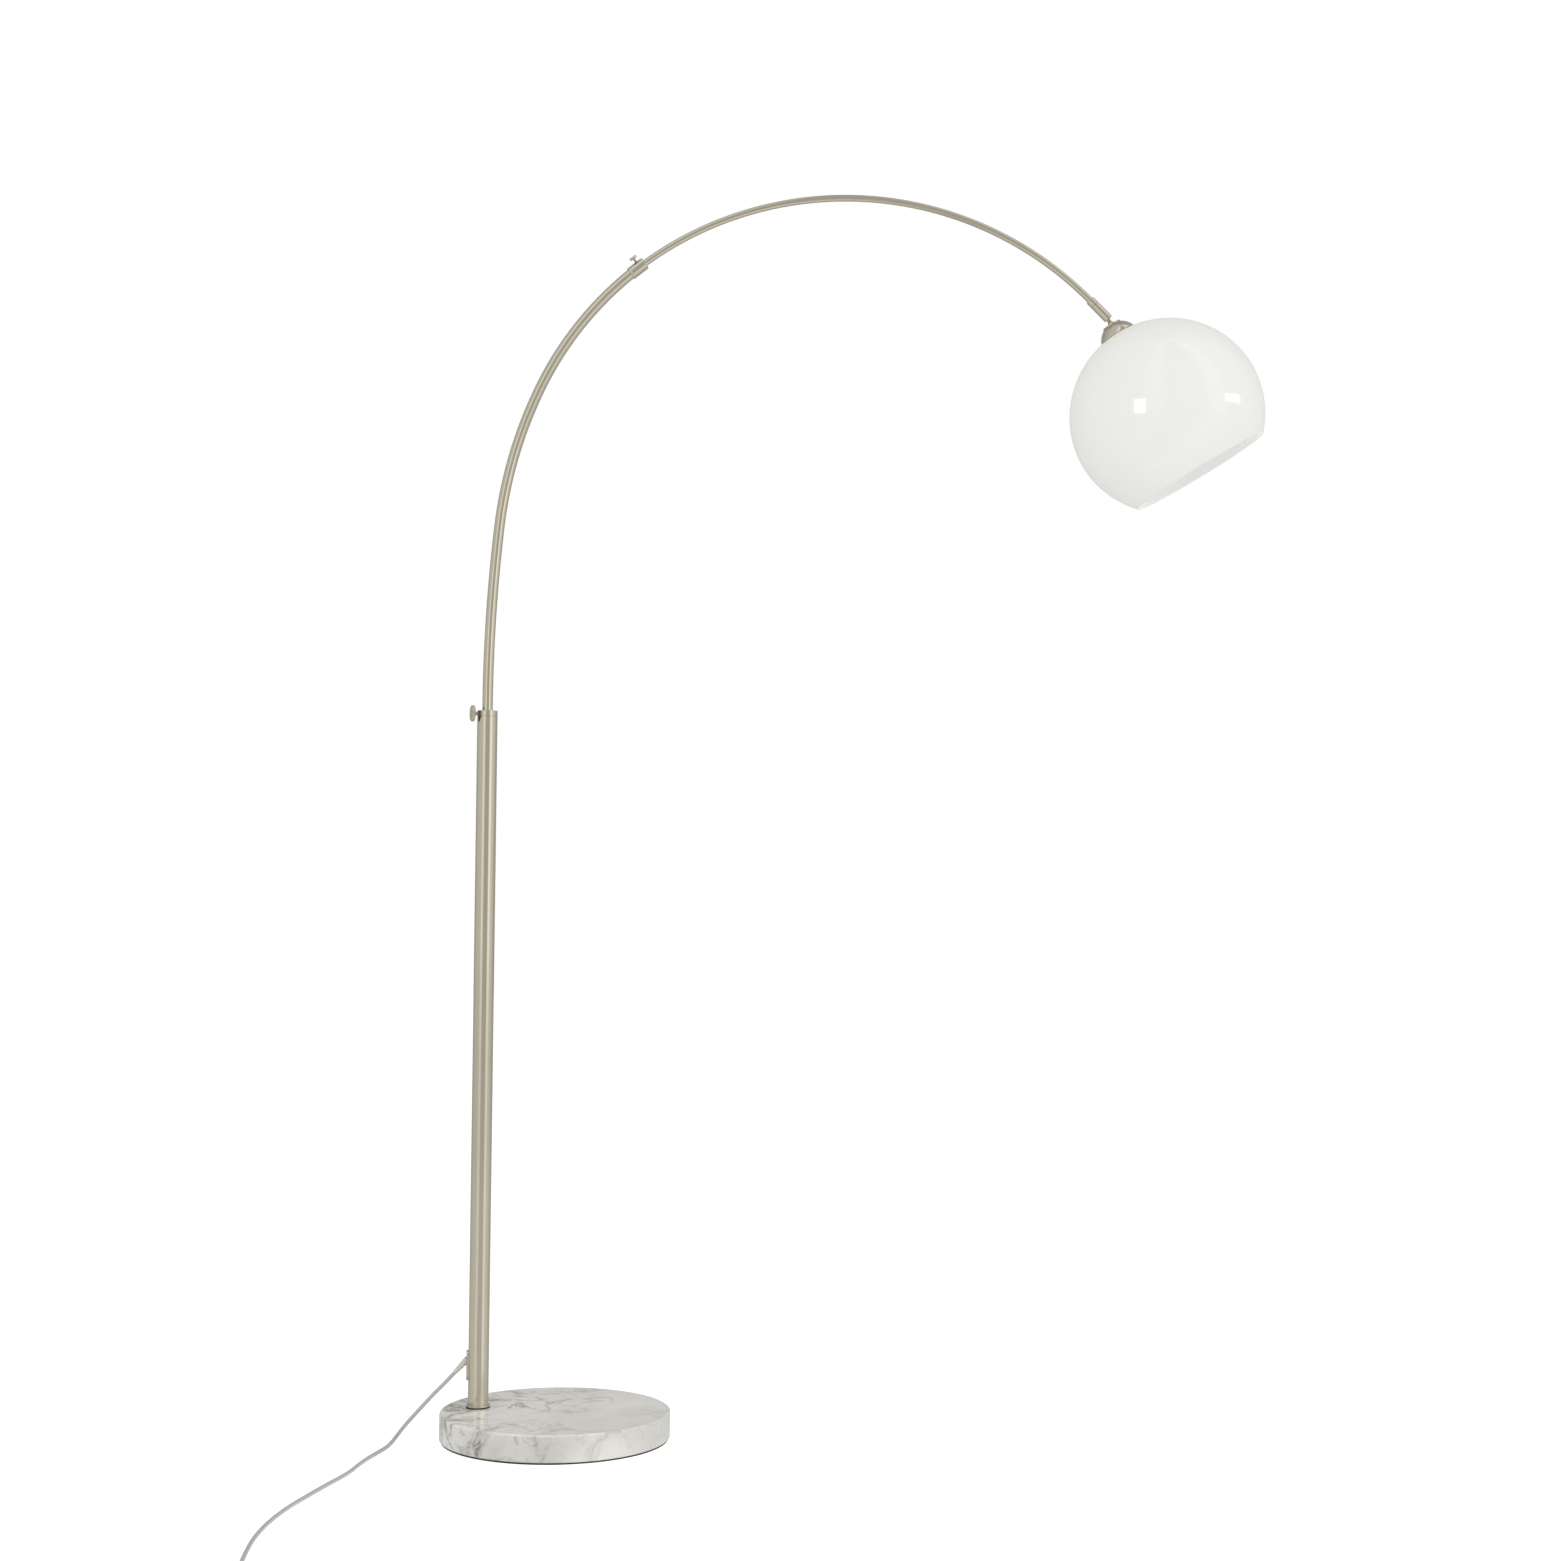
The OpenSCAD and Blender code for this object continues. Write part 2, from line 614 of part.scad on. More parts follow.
module arc_collar() color("tan") difference() {
    main_sweep(collar_angle, collar_end) annulus(collar_d, upper_arc_d + 2 * run_fit);
    main_sweep(collar_angle - 0.1, collar_angle + tube_in_collar + 0.02)
        circle(d = lower_arc_d + 0.04, $fn = 48);
    main_sweep(collar_end - arc_span(liner_l), collar_end + 0.1) circle(d = upper_arc_d + 3, $fn = 48);
    along_collar_screw() cylinder(d = collar_screw_d + 2 * run_fit, h = collar_d);
}

module collar_liner() color("black")
    main_sweep(collar_end - arc_span(liner_l), collar_end - arc_span(0.6))
        annulus(upper_arc_d + 2.96, upper_arc_d + 2 * run_fit);

module lower_arc_lead() color("whitesmoke") {
    at_pole(lower_lead_z) cylinder(d = inner_lead_d, h = tail_top - lower_lead_z);
    arc_sweep([ease_r, tail_top], ease_r, 0, ease_turn) circle(d = inner_lead_d, $fn = 32);
    arc_sweep(bend_centre, bend_r, ease_turn, lower_lead_end) circle(d = inner_lead_d, $fn = 32);
}

module collar_pad() color("gold") along_collar_screw() translate([0, 0, collar_pad_r0])
    cylinder(d = collar_screw_d - 0.1, h = collar_pad_t);

module collar_screw() color("silver") along_collar_screw()
    translate([0, 0, collar_pad_r0 + collar_pad_t + 0.05])
        cylinder(d = collar_screw_d, h = collar_knob_r0 - collar_pad_r0 - collar_pad_t - 0.05 - 0.6);

module collar_knob() color("silver") along_collar_screw() translate([0, 0, collar_knob_r0])
    thumb_head(collar_knob_d, collar_knob_t, 18, 5, 0.6);

module upper_arc() color("tan")
    main_sweep(inner_end_angle, sleeve_angle + arc_span(tube_in_sleeve)) annulus(upper_arc_d, upper_bore_d);

module inner_guide() color("white")
    main_sweep(inner_end_angle, inner_end_angle + arc_span(inner_guide_l))
        annulus(lower_bore_d - 2 * guide_fit, upper_arc_d + 0.04);

module upper_arc_lead() color("whitesmoke")
    main_sweep(inner_end_angle + 0.5, sleeve_angle + arc_span(tube_in_sleeve))
        circle(d = inner_lead_d, $fn = 32);

// ---------- end sleeve and swivel ----------

module sleeve_bore() main_sweep(sleeve_angle - 0.3, sleeve_angle + arc_span(tube_in_sleeve) + 0.4)
    circle(d = upper_arc_d + 0.04, $fn = 48);

module end_ferrule() color("tan") difference() {
    on_sleeve() {
        rounded_disc(sleeve_d, ferrule_l - 0.3, 0.6);
        cylinder(d = spigot_d, h = ferrule_l + spigot_l);
    }
    sleeve_bore();
}

module swivel_socket() color("tan") on_sleeve() difference() {
    translate([0, 0, ferrule_l]) rounded_disc(sleeve_d, sleeve_l - ferrule_l, 0.5);
    translate([0, 0, ferrule_l - 1]) cylinder(d = counterbore_d, h = shoulder - ferrule_l + 1);
    cylinder(d = fork_d + 2 * fork_play, h = sleeve_l + 1);
}

module swivel_fork() color("dimgray") on_sleeve() difference() {
    union() {
        translate([0, 0, shoulder - fork_flange_t - 0.05])
            cylinder(d = counterbore_d - 0.1, h = fork_flange_t);
        translate([0, 0, shoulder - 0.5]) cylinder(d = fork_d, h = sleeve_l - shoulder + 0.1);
    }
    cylinder(d = lead_hole_d, h = pin_place - eye_r - 1);
    translate([-fork_d, -fork_slot_w / 2, pin_place - eye_r - 1]) cube([2 * fork_d, fork_slot_w, fork_d * 2]);
    translate([0, 0, pin_place]) rotate([90, 0, 0]) cylinder(d = pin_d, h = 2 * fork_d, center = true);
}

module tilt_pin() color("silver") on_sleeve() translate([0, 0, pin_place]) rotate([90, 0, 0])
    cylinder(d = pin_d, h = fork_d - 0.9, center = true);

neck_base_r = 5.2;
neck_top_r = 1.9;             // slim enough to pass the socket's rim at both ends of the tilt
neck_start = eye_r + 1.4;
neck_bore_d = 2.4;

module tilt_stem() color("silver") on_shade() difference() {
    union() {
        rotate([90, 0, 0]) cylinder(r = eye_r, h = tongue_w, center = true);
        translate([0, 0, -neck_start - 1]) linear_extrude(neck_start + 1)
            square([2 * neck_top_r, tongue_w], center = true);
        translate([0, 0, -neck_l]) cylinder(r1 = neck_base_r, r2 = neck_top_r, h = neck_l - neck_start);
    }
    rotate([90, 0, 0]) cylinder(d = pin_d + 2 * run_fit, h = 20, center = true);
    translate([0, 0, -neck_l - 1]) cylinder(d = nipple_d + 0.04, h = 1 + 2.5);
    translate([0, 0, -neck_l - 1]) cylinder(d = neck_bore_d, h = 1 + neck_l - neck_start);
}

// ---------- cap, lampholder, shade and bulb ----------

module cap_disc() color("tan") on_shade() translate([0, 0, -disc_bottom]) difference() {
    rounded_disc(cap_disc_d, cap_disc_t, 0.7);
    translate([0, 0, -1]) cylinder(d = nipple_d + 0.1, h = cap_disc_t + 2);
}

module shade_cap() color("tan") on_shade() difference() {
    union() {
        intersection() {
            translate([0, 0, -dome_centre]) difference() {
                sphere(r = dome_r);
                sphere(r = dome_r - cap_wall);
            }
            translate([0, 0, -cap_rim]) cylinder(r = dome_r + 1, h = cap_dome_h);
        }
        translate([0, 0, -disc_bottom - cap_wall]) cylinder(r = cap_top_r - 0.2, h = cap_wall);
    }
    translate([0, 0, -disc_bottom - 3]) cylinder(d = nipple_d + 0.1, h = 5);
}

module cap_nipple() color("silver") on_shade() translate([0, 0, -holder_top - 6])
    tube(nipple_d, nipple_bore, holder_top + 6 - neck_l + 2.3);

module cap_nut() color("silver") on_shade() translate([0, 0, -disc_bottom - cap_wall - nut_t])
    difference() {
        cylinder(d = 15, h = nut_t, $fn = 6);
        translate([0, 0, -1]) cylinder(d = nipple_d + 0.1, h = nut_t + 2);
    }

module holder_cap() color("white") on_shade() difference() {
    union() {
        translate([0, 0, -holder_flange]) cylinder(r1 = skirt_r, r2 = 9, h = holder_flange - holder_top);
        translate([0, 0, -holder_flange - holder_flange_t])
            rounded_disc(2 * holder_flange_r, holder_flange_t, 0.5);
    }
    translate([0, 0, -holder_flange - 3])
        cylinder(r1 = skirt_r - 2, r2 = 7, h = holder_flange + 1 - holder_top);
    translate([0, 0, -holder_flange - 3]) cylinder(d = nipple_d + 0.1, h = 20);
}

module holder_body() color("white") on_shade() translate([0, 0, -skirt_end]) difference() {
    cylinder(r = skirt_r, h = skirt_end - holder_flange - holder_flange_t);
    translate([0, 0, -1]) cylinder(r = 14.2, h = skirt_end - core_top - 1);
    translate([0, 0, skirt_end - core_top - 3]) cylinder(r = 10, h = 20);
}

module holder_core() color("ivory") on_shade() translate([0, 0, -bulb_top + 0.3])
    cylinder(r = 9.8, h = bulb_top - 0.3 - core_top);

module shade_ring() color("white") on_shade() translate([0, 0, -ring_top - ring_t]) difference() {
    rounded_disc(2 * ring_r, ring_t, 0.8);
    translate([0, 0, -1]) cylinder(r = ring_bore_r, h = ring_t + 2);
    for (i = [0:11]) rotate([0, 0, i * 30]) translate([ring_r + 0.6, 0, -1]) cylinder(d = 4, h = ring_t + 2);
}

rim_mid_r = shade_r - shade_wall / 2;
rim_r = sqrt(pow(rim_mid_r, 2) - pow(opening_drop, 2));

module globe_shade() color("white") on_shade() translate([0, 0, -shade_centre]) {
    difference() {
        sphere(r = shade_r, $fn = 180);
        sphere(r = shade_r - shade_wall, $fn = 180);
        translate([0, 0, -opening_drop - shade_d]) cylinder(d = 2 * shade_d, h = shade_d);
        cylinder(r = neck_hole_r, h = shade_d);
    }
    translate([0, 0, -opening_drop]) rotate_extrude(convexity = 4, $fn = 180) translate([rim_r, 0])
        circle(d = shade_wall, $fn = 24);
}

module bulb_screw_cap() color("silver") on_shade() translate([0, 0, -bulb_top - screw_cap_l]) {
    difference() {
        cylinder(r = screw_cap_r, h = screw_cap_l - 4);
        translate([0, 0, -1]) cylinder(r = screw_cap_r - screw_cap_wall, h = screw_cap_l - 4);
    }
    translate([0, 0, screw_cap_l - 4]) cylinder(r1 = screw_cap_r, r2 = 6, h = 3);
    translate([0, 0, screw_cap_l - 4]) cylinder(r = 5, h = 4);
}

// the glass: a globe and a tapering neck, both hollow
module bulb_shape(inset) {
    globe_r = bulb_d / 2 - inset;
    neck_drop = bulb_d / 5;
    translate([0, 0, -bulb_centre]) sphere(r = globe_r);
    translate([0, 0, -bulb_centre + neck_drop])
        cylinder(r1 = sqrt(pow(globe_r, 2) - pow(neck_drop, 2)), r2 = bulb_neck_r - inset,
            h = bulb_centre - neck_drop - bulb_top - screw_cap_l);
}

module bulb_glass() color("floralwhite") on_shade() difference() {
    bulb_shape(0);
    bulb_shape(bulb_wall);
}

marble_base();
base_pad();
base_bolt();
base_washer();
foot_plug();
foot_gasket();
foot_ring();
lower_pole();
pole_coupler();
upper_pole();
pole_cap();
pole_lead();
cord_outlet();
cord_relief();
mains_cord();
switch_cord();
cord_coil();
coil_tie();
plug_cord();
plug_body();
plug_pins();
switch_base();
switch_cover();
switch_block();
switch_screws();
switch_button();
pole_pad();
pole_screw();
pole_knob();
swivel_bush();
lower_arc();
tail_guide();
arc_collar();
collar_liner();
lower_arc_lead();
collar_pad();
collar_screw();
collar_knob();
upper_arc();
inner_guide();
end_ferrule();
swivel_socket();
upper_arc_lead();
swivel_fork();
tilt_pin();
tilt_stem();
cap_disc();
shade_cap();
cap_nipple();
cap_nut();
holder_cap();
holder_body();
holder_core();
shade_ring();
globe_shade();
bulb_screw_cap();
bulb_glass();
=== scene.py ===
import json
import math

import bpy
from mathutils import Matrix, Vector


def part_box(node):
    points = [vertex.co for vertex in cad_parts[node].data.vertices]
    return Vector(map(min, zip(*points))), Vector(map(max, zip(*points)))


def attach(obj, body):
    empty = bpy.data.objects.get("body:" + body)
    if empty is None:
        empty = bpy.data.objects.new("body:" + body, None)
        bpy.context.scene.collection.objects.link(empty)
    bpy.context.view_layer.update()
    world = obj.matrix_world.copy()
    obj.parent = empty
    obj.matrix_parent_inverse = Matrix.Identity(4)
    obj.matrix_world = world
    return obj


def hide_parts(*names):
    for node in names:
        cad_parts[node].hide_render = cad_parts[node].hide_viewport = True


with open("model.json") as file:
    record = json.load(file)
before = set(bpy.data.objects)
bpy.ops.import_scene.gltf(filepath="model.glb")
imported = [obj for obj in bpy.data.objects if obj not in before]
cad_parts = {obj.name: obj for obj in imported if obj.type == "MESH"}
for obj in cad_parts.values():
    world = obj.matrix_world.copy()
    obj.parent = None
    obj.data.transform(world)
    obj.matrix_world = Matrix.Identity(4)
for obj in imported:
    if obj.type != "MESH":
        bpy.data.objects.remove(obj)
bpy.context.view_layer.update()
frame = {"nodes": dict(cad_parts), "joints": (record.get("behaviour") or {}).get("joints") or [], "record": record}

joints = {joint["name"]: joint for joint in frame["joints"]}
upright = Vector((0, 0, 1))


def middle(node):
    low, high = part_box(node)
    return (low + high) / 2


def bottomOf(node):
    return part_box(node)[0].z


def topOf(node):
    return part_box(node)[1].z


def widthOf(node):
    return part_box(node)[1].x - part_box(node)[0].x


# places, taken from the frame where it states them
poleAxis = Vector((middle("upper_pole").x, middle("upper_pole").y, 0))
poleRadius = widthOf("upper_pole") / 2
arcCentre = Vector(joints["arm_reach"]["pos_m"])
tiltPin = Vector(joints["shade_tilt"]["pos_m"])
sleeveAxis = Vector(joints["shade_swivel"]["axis"])
poleScrewAxis = Vector(joints["pole_knob_turn"]["axis"])
poleScrewPlace = Vector(joints["pole_knob_turn"]["pos_m"])
collarScrewAxis = Vector(joints["collar_knob_turn"]["axis"])
collarScrewPlace = Vector(joints["collar_knob_turn"]["pos_m"])
arcRadius = 0.46  # both arm tubes follow one arc round arcCentre
shadeTilt = math.radians(30.8)  # tilt of the shade at rest, from straight down
shadeUp = Vector((-math.sin(shadeTilt), 0, math.cos(shadeTilt)))


def clearSelection():
    if bpy.context.object and bpy.context.object.mode != "OBJECT":
        bpy.ops.object.mode_set(mode="OBJECT")
    bpy.ops.object.select_all(action="DESELECT")


cameraSettings = {
    "place": (0.2443, -3.0097, 0.6629),
    "turn": 0.859,  # degrees to the right of straight ahead
    "lift": 3.794,  # degrees upwards
    "roll": 0.294,
    "lens": 52.24,
    "sensor": 36,
}


def addCamera():
    turn, lift, roll = (math.radians(cameraSettings[k]) for k in ("turn", "lift", "roll"))
    ahead = Vector((math.sin(turn), math.cos(turn), 0))
    side = Vector((math.cos(turn), -math.sin(turn), 0))
    forward = ahead * math.cos(lift) + upright * math.sin(lift)
    top = upright * math.cos(lift) - ahead * math.sin(lift)
    right = side * math.cos(roll) + top * math.sin(roll)
    above = top * math.cos(roll) - side * math.sin(roll)
    clearSelection()
    bpy.ops.object.camera_add(location=cameraSettings["place"])
    camera = bpy.context.object
    turned = Matrix((right, above, -forward)).transposed().to_4x4()
    camera.matrix_world = Matrix.Translation(cameraSettings["place"]) @ turned
    camera.data.lens = cameraSettings["lens"]
    camera.data.sensor_width = cameraSettings["sensor"]
    camera.data.sensor_fit = "HORIZONTAL"
    bpy.context.scene.camera = camera


addCamera()
print("camera placed")

# the free lead, on the same points as the solids that it stands for
leadSettings = {
    "diameter": 0.005,
    "coilPlace": (-248, -764),
    "innerTurn": 25.5,  # radii of the coil's inner and outer turns
    "outerTurn": 30.5,
    "levels": (2.5, 7.5, 12.5),
    "firstAngle": 175,
    "lastAngle": 1710,
    "pointSpacing": 15,
    "entryRise": 2.7,  # the lead comes into the coil from this far outside its outer turn
    "entryAngle": 159, "entryTurn": 70,
    "smoothness": 6,
}
# (angle where a move between turns starts, where it ends, new radius, new level)
coilMoves = (
    (389, 519, "innerTurn", 0),
    (659, 749, "innerTurn", 1),
    (929, 1019, "innerTurn", 2),
    (1159, 1289, "outerTurn", 2),
    (1429, 1519, "outerTurn", 1),
)


def inMetres(points):
    return [tuple(value / 1000 for value in point) for point in points]


def eased(part):
    part = min(max(part, 0), 1)
    return part * part * (3 - 2 * part)


def coilPoints():
    points = []
    centreX, centreY = leadSettings["coilPlace"]
    first, last = leadSettings["firstAngle"], leadSettings["lastAngle"]
    for step in range(round((last - first) / leadSettings["pointSpacing"]) + 1):
        angle = min(first + step * leadSettings["pointSpacing"], last)
        entered = eased((angle - leadSettings["entryAngle"]) / leadSettings["entryTurn"])
        radius = leadSettings["outerTurn"] + leadSettings["entryRise"] * (1 - entered)
        level = leadSettings["levels"][0]
        for start, end, newRadius, newLevel in coilMoves:
            share = eased((angle - start) / (end - start))
            radius += (leadSettings[newRadius] - radius) * share
            level += (leadSettings["levels"][newLevel] - level) * share
        turn = math.radians(angle)
        points.append((centreX + radius * math.cos(turn), centreY + radius * math.sin(turn), level))
    return points


leadRoute = inMetres([
    (-133.8, 16.3, 81.4), (-148, 16.2, 66.4), (-162, 16, 52.5), (-175, 14.5, 38.5), (-187, 11, 25.5),
    (-197, 4, 14.5), (-203.5, -9, 6.5), (-207, -32, 2.5), (-210, -66, 2.5), (-217, -98, 2.5),
    (-224, -130, 2.5), (-229, -162, 2.5), (-233, -194, 2.5), (-240, -226, 2.5), (-248, -256, 2.5),
    (-256, -288, 2.5), (-264, -322, 2.5), (-272, -358, 2.5), (-278, -394, 2.5), (-282, -430, 2.5),
    (-284, -466, 2.5), (-284, -502, 2.5), (-282, -538, 2.5), (-279, -574, 2.5), (-275, -610, 3),
    (-272, -636, 5.6), (-271, -652, 7), (-271, -663, 7)])
switchToCoil = [(-271, -711, 7), (-271, -722, 7), (-271.5, -731, 5.8), (-274, -742, 3.5), (-279, -752, 2.5)]
coilToPlug = [(-238, -794.5, 7.5), (-228, -794.5, 7.5), (-218, -794, 7.5), (-209, -791.5, 7.5),
              (-201.5, -785.5, 7.4), (-197.3, -777, 7.2), (-196, -767.5, 7), (-196, -755, 7)]
plugRoute = inMetres(switchToCoil + coilPoints() + coilToPlug)


def addLead(name, points, *replaced):
    clearSelection()
    bpy.ops.curve.primitive_nurbs_path_add()
    lead = bpy.context.object
    lead.name = name
    lead.data.splines.clear()
    spline = lead.data.splines.new("BEZIER")
    spline.bezier_points.add(len(points) - 1)
    for knot, point in zip(spline.bezier_points, points):
        knot.co = point
        knot.handle_left_type = knot.handle_right_type = "AUTO"
    lead.data.dimensions = "3D"
    lead.data.bevel_depth = leadSettings["diameter"] / 2
    lead.data.bevel_resolution = lead.data.resolution_u = leadSettings["smoothness"]
    lead.data.use_fill_caps = True
    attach(lead, "stand")
    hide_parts(*replaced)
    return lead


mainsLead = addLead("mainsLead", leadRoute, "mains_cord")
plugLead = addLead("plugLead", plugRoute, "switch_cord", "cord_coil", "plug_cord")
print("lead laid")


def newMaterial(name, **values):
    material = bpy.data.materials.new(name)
    material.use_nodes = True
    shader = material.node_tree.nodes["Principled BSDF"]
    for socket, value in values.items():
        shader.inputs[socket.replace("_", " ")].default_value = value
    return material


def setInput(material, socket, value):
    if isinstance(value, bpy.types.NodeSocket):
        material.node_tree.links.new(value, socket)
    else:
        socket.default_value = value


def addNode(material, kind, inputs=None, **settings):
    node = material.node_tree.nodes.new(kind)
    for key, value in settings.items():
        setattr(node, key, value)
    for key, value in (inputs or {}).items():
        setInput(material, node.inputs[key], value)
    return node


def intoShader(material, socket, output):
    shader = material.node_tree.nodes["Principled BSDF"]
    material.node_tree.links.new(output, shader.inputs[socket])


def objectPlace(material, scale=(1, 1, 1), move=(0, 0, 0), turn=(0, 0, 0)):
    coords = addNode(material, "ShaderNodeTexCoord")
    inputs = {"Vector": coords.outputs["Object"], "Scale": scale, "Location": move, "Rotation": turn}
    return addNode(material, "ShaderNodeMapping", inputs).outputs["Vector"]


def noise(material, place, scale, detail=4.0, roughness=0.5, distortion=0.0):
    inputs = {"Vector": place, "Scale": scale, "Detail": detail, "Roughness": roughness,
              "Distortion": distortion}
    return addNode(material, "ShaderNodeTexNoise", inputs).outputs["Fac"]


def worked(material, operation, *values):
    node = addNode(material, "ShaderNodeMath", operation=operation)
    for socket, value in zip(node.inputs, values):
        setInput(material, socket, value)
    return node.outputs[0]


def greyOrColour(value):
    return (*value, 1) if hasattr(value, "__len__") else (value, value, value, 1)


def ramp(material, factor, *stops):
    node = addNode(material, "ShaderNodeValToRGB", {"Fac": factor})
    elements = node.color_ramp.elements
    while len(elements) < len(stops):
        elements.new(0.5)
    for element, (place, colour) in zip(elements, stops):
        element.position = place
        element.color = greyOrColour(colour)
    return node.outputs["Color"]


def mixColour(material, factor, first, second):
    node = addNode(material, "ShaderNodeMix", data_type="RGBA")
    setInput(material, node.inputs[0], factor)
    for index, value in ((6, first), (7, second)):  # the node's colour sockets
        fixed = not isinstance(value, bpy.types.NodeSocket)
        setInput(material, node.inputs[index], greyOrColour(value) if fixed else value)
    return node.outputs[2]


def bump(material, height, strength, distance):
    values = {"Height": height, "Strength": strength, "Distance": distance}
    node = addNode(material, "ShaderNodeBump", values)
    intoShader(material, "Normal", node.outputs["Normal"])


satinNickel = {
    "colour": (0.64, 0.60, 0.49),
    "darker": (0.58, 0.54, 0.44),
    "roughness": 0.13,
    "linesPerMetre": 1500,  # polishing lines that run round the tubes
    "lineDepth": 0.06,
    "lineHeight": 0.00008,
    "acrossScale": 8.0,
    "cloudScale": 14.0,
    "roughnessSpread": 0.08,
}


def nickelMaterial(name, along=None, turn=(0, 0, 0)):
    material = newMaterial(name, Metallic=1.0, Roughness=satinNickel["roughness"])
    if along is None:
        across = satinNickel["acrossScale"]
        place = objectPlace(material, scale=(across, across, satinNickel["linesPerMetre"]), turn=turn)
    else:
        place = along(material, satinNickel["linesPerMetre"])
    lines = noise(material, place, 1.0, detail=1.0)
    cloud = noise(material, objectPlace(material), satinNickel["cloudScale"], detail=2.0)
    tint = mixColour(material, cloud, satinNickel["darker"], satinNickel["colour"])
    intoShader(material, "Base Color", tint)
    spread = satinNickel["roughnessSpread"]
    rough = worked(material, "MULTIPLY_ADD", lines, spread, satinNickel["roughness"] - spread / 2)
    intoShader(material, "Roughness", rough)
    bump(material, lines, satinNickel["lineDepth"], satinNickel["lineHeight"])
    return material


def roundTheArc(material, linesPerMetre):
    coords = addNode(material, "ShaderNodeTexCoord")
    apart = addNode(material, "ShaderNodeSeparateXYZ", {"Vector": coords.outputs["Object"]})
    overX = worked(material, "SUBTRACT", apart.outputs["X"], arcCentre.x)
    overZ = worked(material, "SUBTRACT", apart.outputs["Z"], arcCentre.z)
    angle = worked(material, "ARCTAN2", overZ, overX)
    length = worked(material, "MULTIPLY", angle, arcRadius * linesPerMetre)
    across = worked(material, "MULTIPLY", apart.outputs["Y"], satinNickel["acrossScale"])
    return addNode(material, "ShaderNodeCombineXYZ", {"X": across, "Z": length}).outputs["Vector"]


marbleSettings = {
    "ground": (0.80, 0.80, 0.77),
    "cloud": (0.70, 0.70, 0.675),
    "grain": (0.65, 0.65, 0.63),
    "warm": (0.64, 0.565, 0.49),
    "vein": (0.19, 0.175, 0.155),
    # scale, detail, shift, width and strength of each family of veins
    "veins": ((6.5, 6.0, 0.3, 1.0, 0.95), (12.0, 5.0, 5.2, 0.8, 0.85), (23.0, 4.0, 9.7, 0.7, 0.55)),
    "veinWidth": 0.011,
    "veinFade": 4.5,  # where a vein has faded out, in widths
    "veinedFrom": -0.06, "veinedTo": 0.1,  # veins thin out between these places, from left to right
}


def marbleMaterial():
    material = newMaterial("polishedMarble", Roughness=0.08)
    place = objectPlace(material)
    slow = noise(material, place, 5.5, detail=5.0, roughness=0.6)
    speckle = noise(material, place, 75.0, detail=6.0, roughness=0.65)
    ground = mixColour(material, ramp(material, slow, (0.42, 0.0), (0.66, 1.0)),
                       marbleSettings["ground"], marbleSettings["cloud"])
    grains = ramp(material, speckle, (0.5, 0.0), (0.72, 0.5))
    ground = mixColour(material, grains, ground, marbleSettings["grain"])
    blush = noise(material, objectPlace(material, move=(3.1, 1.7, 0.4)), 11.0, detail=3.0)
    blushes = ramp(material, blush, (0.58, 0.0), (0.76, 0.5))
    ground = mixColour(material, blushes, ground, marbleSettings["warm"])
    apart = addNode(material, "ShaderNodeSeparateXYZ", {"Vector": place})
    toLeft = addNode(material, "ShaderNodeMapRange", {
        "Value": apart.outputs["X"], "From Min": marbleSettings["veinedTo"],
        "From Max": marbleSettings["veinedFrom"], "To Min": 0.25, "To Max": 1.0}).outputs[0]
    for scale, detail, shift, width, strength in marbleSettings["veins"]:
        bent = noise(material, objectPlace(material, move=(shift, shift, shift)), scale, detail, 0.58, 0.7)
        ridge = worked(material, "ABSOLUTE", worked(material, "SUBTRACT", bent, 0.5))
        wide = marbleSettings["veinWidth"] * width
        thin = ramp(material, ridge, (0.0, 1.0), (wide, 0.4), (wide * marbleSettings["veinFade"], 0.0))
        broken = noise(material, objectPlace(material, move=(0, shift, 0)), scale * 1.2, 3.0)
        kept = ramp(material, broken, (0.46, 0.0), (0.58, 1.0))
        amount = worked(material, "MULTIPLY", worked(material, "MULTIPLY", thin, kept), toLeft)
        amount = worked(material, "MULTIPLY", amount, strength)
        ground = mixColour(material, amount, ground, marbleSettings["vein"])
    intoShader(material, "Base Color", ground)
    intoShader(material, "Roughness", ramp(material, speckle, (0.3, 0.05), (0.8, 0.13)))
    bump(material, speckle, 0.015, 0.0002)
    return material


def plainMaterial(name, colour, roughness, grain=400.0, depth=0.05, metal=0.0, shade=0.9, **values):
    material = newMaterial(name, Metallic=metal, Roughness=roughness, **values)
    fine = noise(material, objectPlace(material), grain, detail=3.0)
    broad = noise(material, objectPlace(material), 18.0, detail=2.0)
    dark = tuple(c * shade for c in colour)
    intoShader(material, "Base Color", mixColour(material, broad, dark, colour))
    smooth, rough = max(roughness - 0.05, 0.02), roughness + 0.05
    intoShader(material, "Roughness", ramp(material, fine, (0.3, smooth), (0.7, rough)))
    bump(material, fine, depth, 0.0002)
    return material


